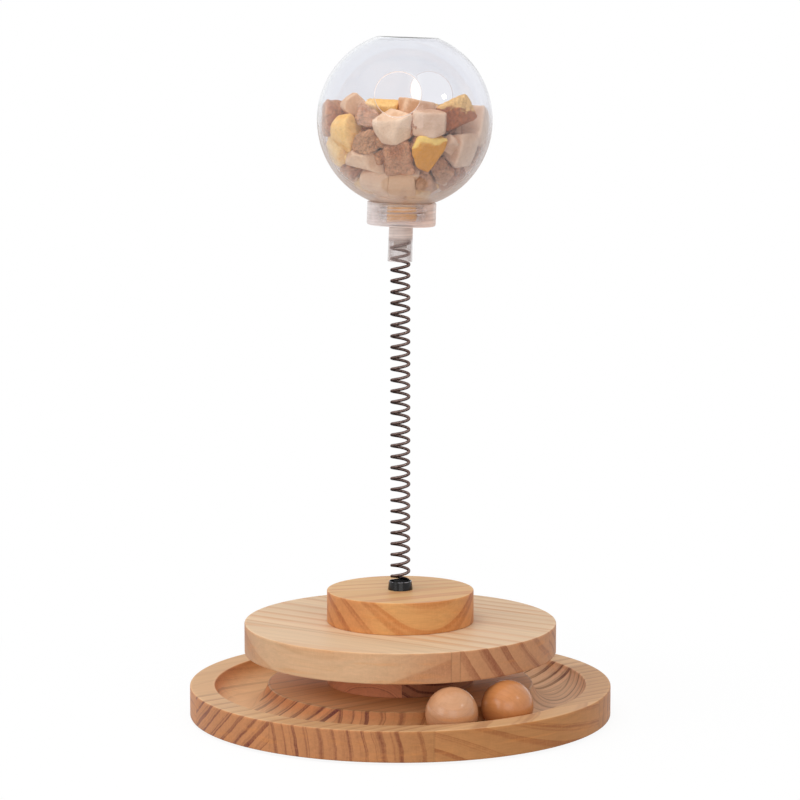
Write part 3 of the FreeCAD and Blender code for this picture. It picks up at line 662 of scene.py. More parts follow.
# %% [markdown]
# ## The blocks and the upper board
#
# The upper board covers the inner half of the groove. It stands on one round block and carries
# another. They are plain turned discs with eased edges, and each has its own staves. The lower block,
# which stands in the board's shadow, is of a redder, darker wood, and its right half is painted
# darker still as painted shade, with its left half painted lighter.

# %% Boards and blocks
DISC_BOTTOM = 38.5
DISC_TOP = 56.5
DISC_RADIUS = 92.5
HUB_RADIUS = 43.5
HUB_TOP = 75.5
HUB_ROUND = 0.6


def board(name, node, radius, bottom, top, edge, finish):
    """A disc with a bolt hole and rounded edges."""
    made = turned(name, [
        (BOLT_HOLE, bottom, 0.2), (radius, bottom, edge), (radius, top, edge), (BOLT_HOLE, top, 0.2),
    ], COLUMNS, finish)
    stands_for(made, "base", node)


pine_disc = wood(
    "pine_disc", DISC_GRAIN, DISC_STAVES, [
        tone(214, 175, 136), tone(196, 132, 80), tone(194, 139, 98), tone(140, 78, 50), tone(218, 199, 170),
    ], seed=4.1, glue=0.2, half=0.1,
    edge=[(DISC_RADIUS, DISC_TOP)],
)
pine_hub = wood(
    "pine_hub", HUB_GRAIN, HUB_STAVES, [
        tone(216, 160, 100), tone(194, 118, 62), tone(210, 144, 90), tone(168, 96, 56), tone(212, 191, 153),
    ], seed=7.7, half=0.2,
    edge=[(HUB_RADIUS, HUB_TOP)],
)
pine_block = wood(
    "pine_block", BLOCK_GRAIN, BLOCK_STAVES, [
        tone(206, 142, 102), tone(166, 92, 62), tone(206, 136, 98), tone(128, 64, 42), tone(214, 178, 150),
    ], seed=2.9, half=0.3,
    edge=[(HUB_RADIUS, DISC_BOTTOM)],
)
board("lower_hub_turned", "lower_hub", HUB_RADIUS, TRAY_TOP, DISC_BOTTOM, HUB_ROUND, pine_block)
board("upper_disc_turned", "upper_disc", DISC_RADIUS, DISC_BOTTOM, DISC_TOP, EDGE_ROUND, pine_disc)
board("top_hub_turned", "top_hub", HUB_RADIUS, DISC_TOP, HUB_TOP, HUB_ROUND, pine_hub)

# %% [markdown]
# ## The track balls
#
# Two plain wooden balls of a finer, pinker wood. A ball is a grid of latitude and longitude, and its
# rings come from the same finish as the boards, much narrower and fainter.

# %% Track balls
BALL_RADIUS = 15.0
BALL_GRID = (65, 96)
BALL_RINGS = [(300, -60, -40, 3.1, 0.0, 0.0, 0.25, 1.0, 0.4, 0.8, 0.0)]


def sphere(middle, radius, rows, columns):
    """middle + radius (sin p cos a, sin p sin a, cos p), p from 0 to 180 degrees, a all round."""
    polar = np.linspace(0, np.pi, rows)[:, None]
    bearing = np.linspace(0, 2 * np.pi, columns, endpoint=False)[None, :]
    unit = np.stack([
        np.sin(polar) * np.cos(bearing), np.sin(polar) * np.sin(bearing), np.cos(polar) + 0 * bearing,
    ], -1)
    return np.array(middle) + radius * unit


for index, (early, late, grain) in enumerate([
    (tone(203, 151, 112), tone(196, 143, 104), 20.0),
    (tone(196, 130, 78), tone(192, 125, 74), -50.0),
], 1):
    low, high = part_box(f"track_ball_{index}")
    middle = np.array((low + high) / 2) / METRES
    ball_wood = wood(
        f"ball_wood_{index}", grain, BALL_RINGS, [early, late, early, late, early], 9.0 + index,
        fibre=0.7, blotch=0.15, rough=0.24, shine=0.5,
    )
    points = sphere(middle, BALL_RADIUS, *BALL_GRID).reshape(-1, 3)
    ball = put(f"track_ball_{index}_turned", points, quads(*BALL_GRID), ball_wood)
    stands_for(ball, f"ball_{index}", f"track_ball_{index}")

# %% [markdown]
# ## The spring
#
# The spring is one steel wire wound round and round. Its centre line is a helix whose axis bends
# over at the top, where the heavy ball leans, and a small circle is carried along that line. At each
# point the circle stands square to the line: one of its axes points away from the coil's middle, and
# the other is square to that and to the line. The wire is painted greyer on its upper side, partly
# dust and partly a painted highlight from above, and its foot is black.

# %% Spring
WIRE_RADIUS = 0.9
COIL_RADIUS = 5.1
SPRING_FOOT = 78.9
PITCH = 6.5
TURNS = 31.4
START_BEARING = -69.0
LEAN = 2.0
LEAN_PIVOT = 278.0
BEND = 20.0  # the height over which the axis bends
WIRE_STEPS = 44  # in each turn
WIRE_SIDES = 12
CUT_END = 0.93 * WIRE_RADIUS  # the radius of the wire's flat ends
BLACK_FOOT = (81.4, 82.6)  # the black ends between these heights
CUP_RIM = 80.7  # the cup's rim, where the spring leaves the cup
SLEEVE_MOUTH = 270.3  # the sleeve's mouth, where the spring enters the sleeve


def helix(turn):
    """The wire's middle line, (c + R cos a, R sin a, z), and its way out from the coil's middle: a
    grows by a full turn while z grows by the pitch, and c, the coil's middle, curves into the lean."""
    angle = np.radians(START_BEARING) + 2 * np.pi * turn
    height = SPRING_FOOT + PITCH * turn
    into = np.clip(height - LEAN_PIVOT + BEND / 2, 0, BEND)
    slope = math.tan(math.radians(LEAN))
    offset = slope * into ** 2 / (2 * BEND) + slope * np.maximum(height - LEAN_PIVOT - BEND / 2, 0)
    middle = np.stack([offset, 0 * offset, height], -1)
    spoke = np.stack([np.cos(angle), np.sin(angle), 0 * angle], -1)
    return middle + COIL_RADIUS * spoke, spoke


def tube():
    """The line's points + r (cos b spoke + sin b square), with rounded-off ends."""
    centre, spoke = helix(np.linspace(0, TURNS, int(TURNS * WIRE_STEPS) + 1))
    way = np.gradient(centre, axis=0)
    way /= np.linalg.norm(way, axis=1)[:, None]
    spoke -= np.sum(spoke * way, axis=1)[:, None] * way
    spoke /= np.linalg.norm(spoke, axis=1)[:, None]
    square = np.cross(way, spoke)
    centre, spoke, square = (np.pad(rows, ((2, 2), (0, 0)), "edge") for rows in (centre, spoke, square))
    radius = np.full(len(centre), WIRE_RADIUS)
    radius[[0, 1, -2, -1]] = 0, CUT_END, CUT_END, 0
    b = np.linspace(0, 2 * np.pi, WIRE_SIDES, endpoint=False)[None, :, None]
    ring = np.cos(b) * spoke[:, None] + np.sin(b) * square[:, None]
    return centre[:, None] + radius[:, None, None] * ring


steel = Finish("spring_steel")
spot = steel.place()
grime = steel.noise(spot, 0.5, detail=4.0)
fleck = steel.noise(spot, 3.0, detail=2.0)
upwards = steel.parts(steel.facing())[2]
# painted highlight: the wire's upper side is painted grey, partly dust and partly a highlight from above
dust_and_painted_light = steel.mixed(tone(50, 34, 30), tone(152, 130, 123), upwards.rise(-0.6, 0.9))
brown = steel.mixed(dust_and_painted_light, tone(58, 41, 36), grime.rise(0.4, 0.7) * 0.6)
spring_finish = steel.ends(steel.principled(
    Base_Color=steel.mixed(tone(12, 10, 10), brown, steel.parts(spot)[2].rise(*BLACK_FOOT)),
    Metallic=0.85,
    Specular_Tint=(0.3, 0.26, 0.25, 1),
    Roughness=0.22 + (fleck - 0.5) * 0.2,
    Normal=steel.bump(fleck, 0.01),
))
shape = tube()
spring = put("spring_wound", shape.reshape(-1, 3), quads(len(shape), WIRE_SIDES), spring_finish)
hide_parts("spring")
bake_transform(spring)

# %% [markdown]
# ## The black cup
#
# A small black plastic ferrule holds the spring's foot. It tapers a little to its lip, which is
# painted pale in places, partly rubbed and partly a painted highlight.

# %% Cup
black = Finish("black_plastic")
spot = black.place()
scuff = black.noise(spot, 1.2, detail=4.0)
rubbed_and_highlit_lip = black.noise(spot, 0.35, detail=2.0)
# painted highlight: patches of the lip are painted pale grey, partly rubbed plastic and partly a highlight
# on the rim
black_finish = black.ends(black.principled(
    Base_Color=black.mixed(
        black.mixed(tone(8, 7, 8), tone(30, 23, 22), scuff.rise(0.45, 0.7)), tone(150, 150, 158),
        rubbed_and_highlit_lip.rise(0.42, 0.62) * black.parts(spot)[2].rise(CUP_RIM - 0.5, CUP_RIM - 0.1),
    ),
    Roughness=0.05 + scuff * 0.12, Specular_IOR_Level=0.28,
    Normal=black.bump(scuff, 0.02),
))
CUP_BORE = 6.2
CUP_FLOOR = HUB_TOP + 1.4
SMALL_COLUMNS = 96
cup = turned("spring_cup_moulded", [
    (BOLT_HOLE, HUB_TOP, 0.1), (CUP_BORE + 1.15, HUB_TOP, 0.15), (CUP_BORE + 0.55, CUP_RIM, 0.25),
    (CUP_BORE, CUP_RIM, 0.2), (CUP_BORE, CUP_FLOOR, 0.2), (BOLT_HOLE, CUP_FLOOR, 0.1),
], SMALL_COLUMNS, black_finish)
stands_for(cup, "base", "spring_cup")

# %% [markdown]
# ## The head's lean
#
# The soft spring lets the head stand two degrees out of plumb. The head's pieces are worked out
# upright and then turned about the point where the spring bends, so that their outlines stay simple.

# %% Lean
def leaned(points):
    """Points turned about the level axis through the bend, towards +X: x' = x cos + z sin,
    z' = z cos - x sin, with z counted from the bend."""
    turn = math.radians(LEAN)
    x, y, z = points[..., 0], points[..., 1], points[..., 2] - LEAN_PIVOT
    return np.stack([
        x * math.cos(turn) + z * math.sin(turn), y, z * math.cos(turn) - x * math.sin(turn) + LEAN_PIVOT,
    ], -1)


# %% [markdown]
# ## The frosted sleeve and cap
#
# Both are milky plastic, made as a pale skin that is partly see-through, so that the spring's last
# turns and the treat in the neck show faintly behind it. A sleeve over the spring's last turns
# carries the screw cap, and the cap has a thread ridge inside its wall. A ridge is a rise of the wall
# that climbs as it goes round.

# %% Frosted plastic
def frosted(name, left, right, cover, edges, solid, rough, thin_painted_shade=None):
    """Milky plastic: a pale skin that lets part of what is behind it show through, with a paler
    colour on the left and a warmer, darker one on the right, as painted light from the left and
    painted shade on the right. Fine moulding lines round it are painted lighter and darker, as painted
    highlights and shadows of the thread. It covers more where the eye looks along the wall. solid
    holds two heights and how much more it covers above them, and the last argument, if given, is its
    colour below them: a darker tone that paints the shade of the blurred spring behind a thin wall."""
    finish = Finish(name)
    spot = finish.place()
    x, y, z = finish.parts(spot)
    cloud = finish.noise(spot, 0.25, detail=3.0)
    grit = finish.noise(spot, 4.0, detail=2.0)
    # painted highlights and shadows: these fine lines round the wall make its colour lighter and darker,
    # standing in for the light on the thread ridges, and also bump it
    lines = finish.noise(finish.joined(x * 0.04, y * 0.04, z * 1.1), 1.0, detail=2.0)
    tint = 1.05 + (cloud - 0.5) * 0.1 + (lines - 0.5) * 0.5
    start, full, more = solid
    # painted light and shade: paler on the left, where the light comes from, and warmer and darker on the
    # right
    colour = finish.mixed(left, right, (x + y * 0.3).rise(-18, 16))
    # painted shade: below the given heights the colour turns darker, as the shade of the blurred spring
    # behind the thin wall
    if thin_painted_shade:
        colour = finish.mixed(thin_painted_shade, colour, z.rise(start, full))
    hides = finish.slant().rise(0.1, 0.5) * edges + (lines - 0.5) * 0.3 + z.rise(start, full) * more + cover
    return finish.ends(finish.principled(
        Base_Color=finish.vector("SCALE", colour, scale=tint),
        Roughness=rough + (grit - 0.5) * 0.08,
        Alpha=hides,
        Normal=finish.bump(lines * 0.7 + grit * 0.3, 0.06),
    ))


# painted light and shade: the cap and sleeve are pale on the left and warmer, darker on the right
LIT_PINKISH, SHADED_BEIGE = tone(252, 240, 238), tone(246, 214, 198)
frosted_cap = frosted("frosted_plastic", LIT_PINKISH, SHADED_BEIGE, 0.38, 0.45, (292, 297, -0.28), 0.35)
frosted_sleeve = frosted(
    "frosted_sleeve", tone(236, 222, 216), tone(226, 204, 192), 0.2, 0.1, (281, 286, 0.6), 0.3,
    tone(190, 166, 160),
)

# %% Sleeve
SLEEVE_BORE = 6.4
CAP_BOTTOM = 291.5
PLUG_TOP = 290.0
SCREW_HOLE = 1.8
sleeve = turned("spring_sleeve_moulded", [
    (SLEEVE_BORE, SLEEVE_MOUTH, 0.2), (SLEEVE_BORE + 0.85, SLEEVE_MOUTH, 0.2),
    (SLEEVE_BORE + 0.6, CAP_BOTTOM, 0.1), (SCREW_HOLE, CAP_BOTTOM, 0.1), (SCREW_HOLE, PLUG_TOP, 0.1),
    (SLEEVE_BORE, PLUG_TOP, 0.2),
], SMALL_COLUMNS, frosted_sleeve, leaned)
stands_for(sleeve, "head", "spring_sleeve")

# %% Cap
CAP_TOP = 305.0
CAP_RADIUS = 20.15
CAP_BORE = 18.65
CAP_FLOOR_TOP = 293.3
THREAD_PITCH = 4.5
RIDGE_RADIUS = 0.95
RIDGE_PROUD = 0.2  # how far a ridge's middle stands out of its wall
NECK_END = 294.3
THREAD_START = 295.35
THREAD_END = 302.2
THREAD_FADE = 6  # it fades in and out over a sixth of a turn
ROW_STEP = 0.15  # between the rows of a threaded wall


def ridge(points, start, wall, inwards):
    """Moves a wall's points out to a round ridge that climbs as it goes round. The ridge's middle is
    at height start + pitch (turn) and a little proud of the wall, and its rise is that plus the
    circle's height sqrt(r^2 - d^2) at a distance d from that middle."""
    x, y, z = points[..., 0], points[..., 1], points[..., 2]
    radius = np.hypot(x, y)
    bearing = np.mod(np.arctan2(y, x), 2 * np.pi) / (2 * np.pi)
    along = (z - start) / THREAD_PITCH - bearing
    nearest = np.round(along)
    total = (THREAD_END - start) / THREAD_PITCH
    place = nearest + bearing
    fade = np.clip(place * THREAD_FADE, 0, 1) * np.clip((total - place) * THREAD_FADE, 0, 1)
    fade = np.where((nearest >= 0) & (place <= total), fade, 0)
    away = (along - nearest) * THREAD_PITCH
    rise = np.sqrt(np.maximum(RIDGE_RADIUS ** 2 - away ** 2, 0)) + RIDGE_PROUD
    rise = np.where(np.abs(away) < RIDGE_RADIUS, rise, 0) * fade
    on_wall = np.abs(radius - wall) < 0.01
    moved = np.where(on_wall, wall + (-rise if inwards else rise), radius)
    scale = moved / np.maximum(radius, 1e-9)
    return np.stack([x * scale, y * scale, z], -1)


shell = rounded([
    (SCREW_HOLE, CAP_BOTTOM, 0.1), (CAP_RADIUS, CAP_BOTTOM, 1.6), (CAP_RADIUS, CAP_TOP, 0.3),
    (CAP_BORE, CAP_TOP, 0.5), (CAP_BORE, CAP_FLOOR_TOP, 0.4), (SCREW_HOLE, CAP_FLOOR_TOP, 0.1),
])
heights = np.arange(CAP_TOP - 0.8, CAP_FLOOR_TOP + 0.7, -ROW_STEP)
inside_wall = np.stack([np.full(len(heights), CAP_BORE), heights], -1)
outline = closed(*shell[:4], inside_wall, *shell[4:])
CAP_COLUMNS = 160
shape = ridge(around(outline, CAP_COLUMNS), THREAD_START + THREAD_PITCH / 2, CAP_BORE, inwards=True)
cap = put("cap_moulded", leaned(shape).reshape(-1, 3), quads(len(outline), CAP_COLUMNS), frosted_cap)
stands_for(cap, "head", "cap")

# %% [markdown]
# ## The treat ball
#
# A blown ball of clear plastic with a flattened crown, two round dispensing holes and a threaded
# neck. Light bends at every surface of clear plastic, so the wall needs a true inside and outside.
# The outline runs over the outside from the crown to the neck's end and back up the inside. The
# holes are cells left out of the grid: points at a hole's edge move onto its circle, and a rounded
# rim joins the outside to the inside there.

# %% Treat ball's outline
JAR_RADIUS = 51.1
JAR_INSIDE = 49.6
JAR_MIDDLE = 352.83
CROWN_RADIUS = 17.5
NECK_RADIUS = 17.0
NECK_BORE = 15.3
HOLE_RADIUS = 13.25
HOLE_LATITUDE = 19.0
HOLE_BEARINGS = (-95.6, 70.0)
RIM_ROUND = 0.5
RIM_POWER = 0.6  # below 1, the rim's round is squarer than a circle's
BALL_ROWS = 128
CROWN = math.sqrt(JAR_RADIUS ** 2 - CROWN_RADIUS ** 2)  # above the ball's middle


def ball_side(radius, top, neck):
    """From the crown's middle over its edge and down the ball to the neck: (r sin p, r cos p)."""
    polar = np.linspace(math.acos(top / radius), math.pi - math.asin(neck / radius), BALL_ROWS)
    arc = np.stack([radius * np.sin(polar), JAR_MIDDLE + radius * np.cos(polar)], -1)
    edge = arc[0, 0]
    flat = np.array([0, edge * 0.5, edge * 0.9, edge - 0.35, edge - 0.12])
    return np.vstack([np.stack([flat, np.full(len(flat), JAR_MIDDLE + top)], -1), arc])


outside = ball_side(JAR_RADIUS, CROWN, NECK_RADIUS)
inside = ball_side(JAR_INSIDE, CROWN - (JAR_RADIUS - JAR_INSIDE), NECK_BORE)
heights = np.arange(outside[-1, 1] - 0.3, NECK_END + 0.35, -ROW_STEP)
neck_wall = np.stack([np.full(len(heights), NECK_RADIUS), heights], -1)
# the two corners in the middle of the ball only give the others their direction
neck_lip = rounded([
    (NECK_RADIUS, NECK_END, 0.25), (NECK_BORE, NECK_END, 0.25), (NECK_BORE, JAR_MIDDLE, 0),
    (NECK_RADIUS, JAR_MIDDLE, 0),
])[:2]
outline = np.vstack([outside, neck_wall, *neck_lip, inside[::-1]])
shape = ridge(around(outline, COLUMNS), THREAD_START, NECK_RADIUS, inwards=False)
print("ball outline", len(outline), "rows")

# %% Holes and their rims
# half the angle that a hole spans, seen from the ball's middle
HOLE_ANGLE = math.asin((HOLE_RADIUS + RIM_ROUND) / ((JAR_RADIUS + JAR_INSIDE) / 2))


def without_hole(faces, angle, reach, rows, columns):
    """Leaves out the outside's cells whose middle is inside the hole's cone, and the inside's cells
    behind them. Then finds the edges on the outside that no other cell shares."""
    row, column = faces[:, 0] // columns, faces[:, 0] % columns
    half = rows * columns // 2
    on_ball = (faces.max(1) < half) & (reach[faces].min(1) > JAR_INSIDE - 0.2)
    gone = on_ball & (angle[faces].mean(1) < HOLE_ANGLE)
    lost = np.zeros((rows, columns), bool)
    lost[row[gone], column[gone]] = True
    faces = faces[~(lost[row, column] | lost[rows - 2 - row, column])]
    edges = np.concatenate([faces[:, [k, (k + 1) % 4]] for k in range(4)])
    size = len(angle)
    code, back = edges[:, 0] * size + edges[:, 1], edges[:, 1] * size + edges[:, 0]
    lone = edges[~np.isin(back, code)]
    near = (angle[lone].max(1) < HOLE_ANGLE * 1.3) & (angle[lone].min(1) > 0.01)
    return faces, lone[(lone.max(1) < half) & near]


def cut_holes(shape):
    """Leaves out the cells inside each hole's circle, moves the cells' edges onto the circle, and
    joins the outer edge to the inner edge by a rounded rim."""
    rows, columns = shape.shape[:2]
    points = shape.reshape(-1, 3).copy()
    faces = quads(rows, columns)
    middle = np.array([0, 0, JAR_MIDDLE])
    level, up = math.cos(math.radians(HOLE_LATITUDE)), math.sin(math.radians(HOLE_LATITUDE))
    # a circle this wide lies this high above the ball's middle, on the outside and on the inside
    wide = HOLE_RADIUS + RIM_ROUND
    top, bottom = (math.sqrt(radius ** 2 - wide ** 2) for radius in (JAR_RADIUS, JAR_INSIDE))
    sweep = np.linspace(np.pi / 2, -np.pi / 2, 11)[1:-1]
    narrow = HOLE_RADIUS + RIM_ROUND * (1 - np.cos(sweep) ** RIM_POWER)
    upright = np.sign(np.sin(sweep)) * np.abs(np.sin(sweep)) ** RIM_POWER
    lift = (top + bottom) / 2 + (top - bottom) / 2 * upright
    extra = []
    rim_glow_share = np.zeros(len(points))
    for bearing in HOLE_BEARINGS:
        turn = math.radians(bearing)
        axis = np.array([level * math.cos(turn), level * math.sin(turn), up])
        spoke = points - middle
        reach = np.linalg.norm(spoke, axis=1)
        angle = np.arccos(np.clip(spoke @ axis / np.maximum(reach, 1e-9), -1, 1))
        faces, open_edges = without_hole(faces, angle, reach, rows, columns)
        rim = np.unique(open_edges)
        twin = (rows - 1 - rim // columns) * columns + rim % columns
        away = spoke[rim] - (spoke[rim] @ axis)[:, None] * axis
        away /= np.linalg.norm(away, axis=1)[:, None]
        points[rim] = middle + wide * away + top * axis
        points[twin] = middle + wide * away + bottom * axis
        ring = middle + narrow[:, None, None] * away + lift[:, None, None] * axis
        number = len(points) + np.arange(len(sweep) * len(rim)).reshape(len(sweep), len(rim))
        points = np.vstack([points, ring.reshape(-1, 3)])
        # painted light: how much each new rim point glows white, the cosine of its place round the rim
        rim_glow_share = np.concatenate([rim_glow_share, np.repeat(np.cos(sweep), len(rim))])
        ladder = np.vstack([rim, number, twin])
        a, b = (np.searchsorted(rim, open_edges[:, k]) for k in (0, 1))
        rungs = np.stack([ladder[:-1, b], ladder[:-1, a], ladder[1:, a], ladder[1:, b]], -1)
        extra.append(rungs.reshape(-1, 4))
        print(f"hole at {bearing}: rim of {len(rim)} points")
    return points, np.vstack([faces, *extra]), rim_glow_share


# %% Clear plastic
def clear(name, clean, dust, outline, milk, grime):
    """Clear plastic: glass that lamps shine straight through. A grey film, partly treat dust, lies on
    two opposite quarters of the wall and paints shade over the treats seen through its front-right
    quarter, and the outline is greyer. Low down a milky skin lies on the wall, with a painted
    greyish-brown reflection where it is seen edge on, and the holes' cut rims glow white as painted
    light."""
    finish = Finish(name)
    spot = finish.place()
    x, y, z = finish.parts(spot)
    smear = finish.noise(spot, 0.06, detail=3.0)
    wave = finish.noise(spot, 0.035, detail=1.0)
    film = finish.noise(spot, 0.025, detail=2.0)
    slant = finish.slant()
    # painted shade: the grey film covers the front-right and back-left quarters, partly treat dust, and
    # darkens the treats seen through the front-right quarter
    side = (x - 8).rise(-6, 6) * 2 - 1
    front = y.rise(-8, 8) * 2 - 1
    dust_and_painted_light = finish.mixed(clean, dust, 0.5 - side * front * 0.5 + (film - 0.5) * 0.3)
    glass = finish.principled(
        Base_Color=finish.mixed(dust_and_painted_light, outline, slant.rise(0.75, 1.0)),
        Roughness=smear.rise(0.4, 0.8) * 0.08 + 0.01, IOR=1.49, Transmission_Weight=1.0,
        Normal=finish.bump(wave, 0.12),
    )
    rim = finish.attribute("rim")
    # painted reflection: low down, where the wall is seen edge on, the skin takes a greyish-brown painted
    # reflection
    low_edge_painted_reflection = (1 - z.rise(334, 366)) * slant.rise(0.48, 0.88)
    # painted light: the holes' rims glow white, though they are no lamp
    skin = finish.principled(
        Base_Color=finish.mixed(milk, grime, low_edge_painted_reflection), Roughness=0.35, Specular_IOR_Level=0.25,
        Emission_Color=finish.mixed((0, 0, 0, 1), (0.9, 0.92, 0.95, 1), rim), Emission_Strength=0.9,
    )
    # the skin also shows over the painted low-edge reflection and over the rims' painted glow
    cloudy = z.rise(303, 308) * (1 - z.rise(308, 326)) * 0.3 + low_edge_painted_reflection * 0.8 + rim * 0.9
    wall = finish.blended(glass, skin, cloudy)
    through = finish.node("ShaderNodeBsdfTransparent", None, {"Color": (0.98, 0.98, 0.98, 1)})
    wall = finish.blended(wall, through, finish.rays("Diffuse"))
    return finish.ends(finish.blended(wall, through, finish.rays("Shadow")))


# the dust tone paints shade on part of the wall, and grime is the colour of the painted reflection low down
clear_plastic = clear(
    "clear_plastic", clean=tone(251, 253, 255), dust=tone(234, 234, 240), outline=tone(210, 214, 226),
    milk=tone(206, 176, 156), grime=tone(200, 176, 162),
)
points, faces, rim_glow_share = cut_holes(shape)
jar = put("treat_ball_blown", leaned(points), faces, clear_plastic, {"rim": rim_glow_share})
stands_for(jar, "jar", "treat_ball")

# %% [markdown]
# ## The treats
#
# Freeze-dried chunks of meat and egg yolk fill over half of the ball. The construction model has
# each one as a flat-sided chunk. A real one has worn corners and a dry, pitted skin. Each is a
# sphere's grid pulled onto its chunk: in a direction u the surface is at the distance
# 1 / (sum of (n.u / d)^p)^(1/p) over the flat sides, where n is a side's direction and d its
# distance. A high p gives sharp corners, a low one round corners. The chunk is drawn a little fuller
# than its solid but never beyond the glass, and noise then wears its skin inwards. Crumbs fill the
# gaps between the treats.

# %% Noise as arrays
def lattice(cell, seed):
    """A number between 0 and 1 for each whole-number point: the fraction of a big multiple of a
    sine, which looks random and is the same each time."""
    wave = np.sin(cell @ np.array([127.1, 311.7, 74.7]) + seed) * 43758.5453
    return wave - np.floor(wave)


def noise(points, seed):
    """Random numbers at whole-number points, smoothly blended between the eight around a point."""
    cell = np.floor(points)
    part = points - cell
    part = part * part * (3 - 2 * part)
    total = 0
    for corner in np.ndindex(2, 2, 2):
        share = np.prod(np.where(np.array(corner) == 1, part, 1 - part), axis=-1)
        total = total + share * lattice(cell + corner, seed)
    return total


# %% Chunks of a solid
def chunks(node):
    """The separate bodies of a solid, each as its middle and its triangles. The points are welded,
    then labelled by spreading the lowest number along shared corners until nothing changes."""
    mesh = nodes[node].data
    spots = np.zeros(len(mesh.vertices) * 3)
    mesh.vertices.foreach_get("co", spots)
    mesh.calc_loop_triangles()
    corners = np.zeros(len(mesh.loop_triangles) * 3, int)
    mesh.loop_triangles.foreach_get("vertices", corners)
    spots = spots.reshape(-1, 3) / METRES
    welded, weld = np.unique(np.round(spots, 3), axis=0, return_inverse=True)
    triangles = weld.ravel()[corners].reshape(-1, 3)
    label = np.arange(len(welded))
    while True:
        lowest = label[triangles].min(1)
        new = label.copy()
        for k in range(3):
            np.minimum.at(new, triangles[:, k], lowest)
        if (new == label).all():
            break
        label = new
    return [
        (welded[label == mark].mean(0), welded[triangles[label[triangles[:, 0]] == mark]])
        for mark in np.unique(label)
    ]


SLIVER = 0.02  # a triangle of half this area has no sure direction
NEAREST_SIDE = 0.5  # from a chunk's middle


def sides(middle, triangles):
    """The flat sides of a chunk: unit directions and distances from its middle, each side once."""
    a, b, c = (triangles[:, k] for k in range(3))
    normal = np.cross(b - a, c - a)
    length = np.linalg.norm(normal, axis=1)
    real = length > SLIVER
    normal, a = normal[real] / length[real][:, None], a[real]
    distance = np.sum(normal * (a - middle), axis=1)
    normal[distance < 0] *= -1
    found = np.unique(np.round(np.hstack([normal, np.abs(distance)[:, None]]), 2), axis=0)
    return found[:, :3], np.maximum(found[:, 3], NEAREST_SIDE)


# %% Treats
GRIDS = {"large": (37, 60), "small": (17, 28)}
BALL_MIDDLE = leaned(np.array([0, 0, JAR_MIDDLE]))
GLASS_LIMIT = JAR_INSIDE - 0.1
GROWTH = 1.12  # the construction model's treats stand apart a little more than real ones
SCREW_HEAD_RADIUS = 4.0  # with room around it
SCREW_HEAD_TOP = 296.6
FAR = 99.0  # beyond any treat


def room(middle, unit):
    """How far a treat can reach before it meets the glass: the root t of |m + t u| = R, with m
    counted from the ball's middle. The piece in the neck only has a dent for the screw's head."""
    spot = middle - BALL_MIDDLE
    ahead = unit @ spot
    inside = GLASS_LIMIT ** 2 - spot @ spot
    if inside > 0:
        return np.sqrt(ahead ** 2 + inside) - ahead
    down = (middle[2] - SCREW_HEAD_TOP) / np.maximum(-unit[:, 2], 0.01)
    beside = down * np.hypot(unit[:, 0], unit[:, 1])
    return np.where(beside < SCREW_HEAD_RADIUS, down, FAR)


def any_way(rand):
    """A random turn, as a matrix."""
    return np.linalg.qr(rand.normal(size=(3, 3)))[0]


def treat_grid(middle, normals, distances, grid, look, rand):
    """One treat: the chunk with worn corners. Slow noise wears it inwards, quick noise pits it along
    the meat's fibres, and meat splits into layers, where |sin| of the place across them dips."""
    sharpness, wear, pits, layers = look
    unit = sphere((0, 0, 0), 1.0, *GRIDS[grid]).reshape(-1, 3)
    spin = any_way(rand)
    towards = np.maximum(unit @ normals.T, 0) / distances
    reach = GROWTH / np.sum(towards ** sharpness, axis=1) ** (1 / sharpness)
    reach = np.minimum(reach, room(middle, unit))
    own = (unit * reach[:, None]) @ spin
    seed = rand.uniform(0, 100)
    slow = noise(own * 0.22 + seed, 1.0)
    fibre = noise(own * [1.1, 1.1, 0.25] + seed, 2.0)
    quick = noise(own * 1.1 + seed, 3.0)
    split = 1 - np.abs(np.sin(own[:, 0] * 0.9 + 3 * slow)) ** 0.5
    loss = wear * slow + pits * (0.6 * fibre + 0.4 * quick) + layers * split
    nearest = np.sort(towards, axis=1)
    edge = np.clip((nearest[:, -2] / nearest[:, -1] - 0.8) / 0.2, 0, 1)
    spots = unit * np.maximum(reach - loss, 0.6 * reach)[:, None]
    return middle + spots, own, edge


# %% Crumbs
CRUMB_GAP = 8.2  # between a crumb's middle and any other piece's
CRUMB_TRIES = 9000
CRUMB_SHELL = (28, GLASS_LIMIT - 7)  # how near the ball's middle and how near the glass they lie


def crumbs(taken, seed):
    """Small pieces that settle between the treats. Places are drawn at random near the glass, in the
    ball's lower half, and kept when nothing else is too close."""
    rand = np.random.default_rng(seed)
    places = rand.uniform((-48, -48, -51), (48, 48, -1), (CRUMB_TRIES, 3))
    reach = np.linalg.norm(places, axis=1)
    places = places[(reach > CRUMB_SHELL[0]) & (reach < CRUMB_SHELL[1])]
    filled = taken
    for place in leaned(places + [0, 0, JAR_MIDDLE]):
        if np.linalg.norm(filled - place, axis=1).min() > CRUMB_GAP:
            filled = np.vstack([filled, place])
    return filled[len(taken):]


def crumb_sides(rand):
    """A small box with some corners cut off, turned any way round."""
    box = np.vstack([np.eye(3), -np.eye(3)])
    cuts = rand.normal(size=(5, 3))
    cuts /= np.linalg.norm(cuts, axis=1)[:, None]
    spin = any_way(rand)
    size = rand.uniform(3.4, 5.4, 3)
    return np.vstack([box, cuts]) @ spin, np.concatenate([size, size, rand.uniform(4.2, 5.6, 5)])


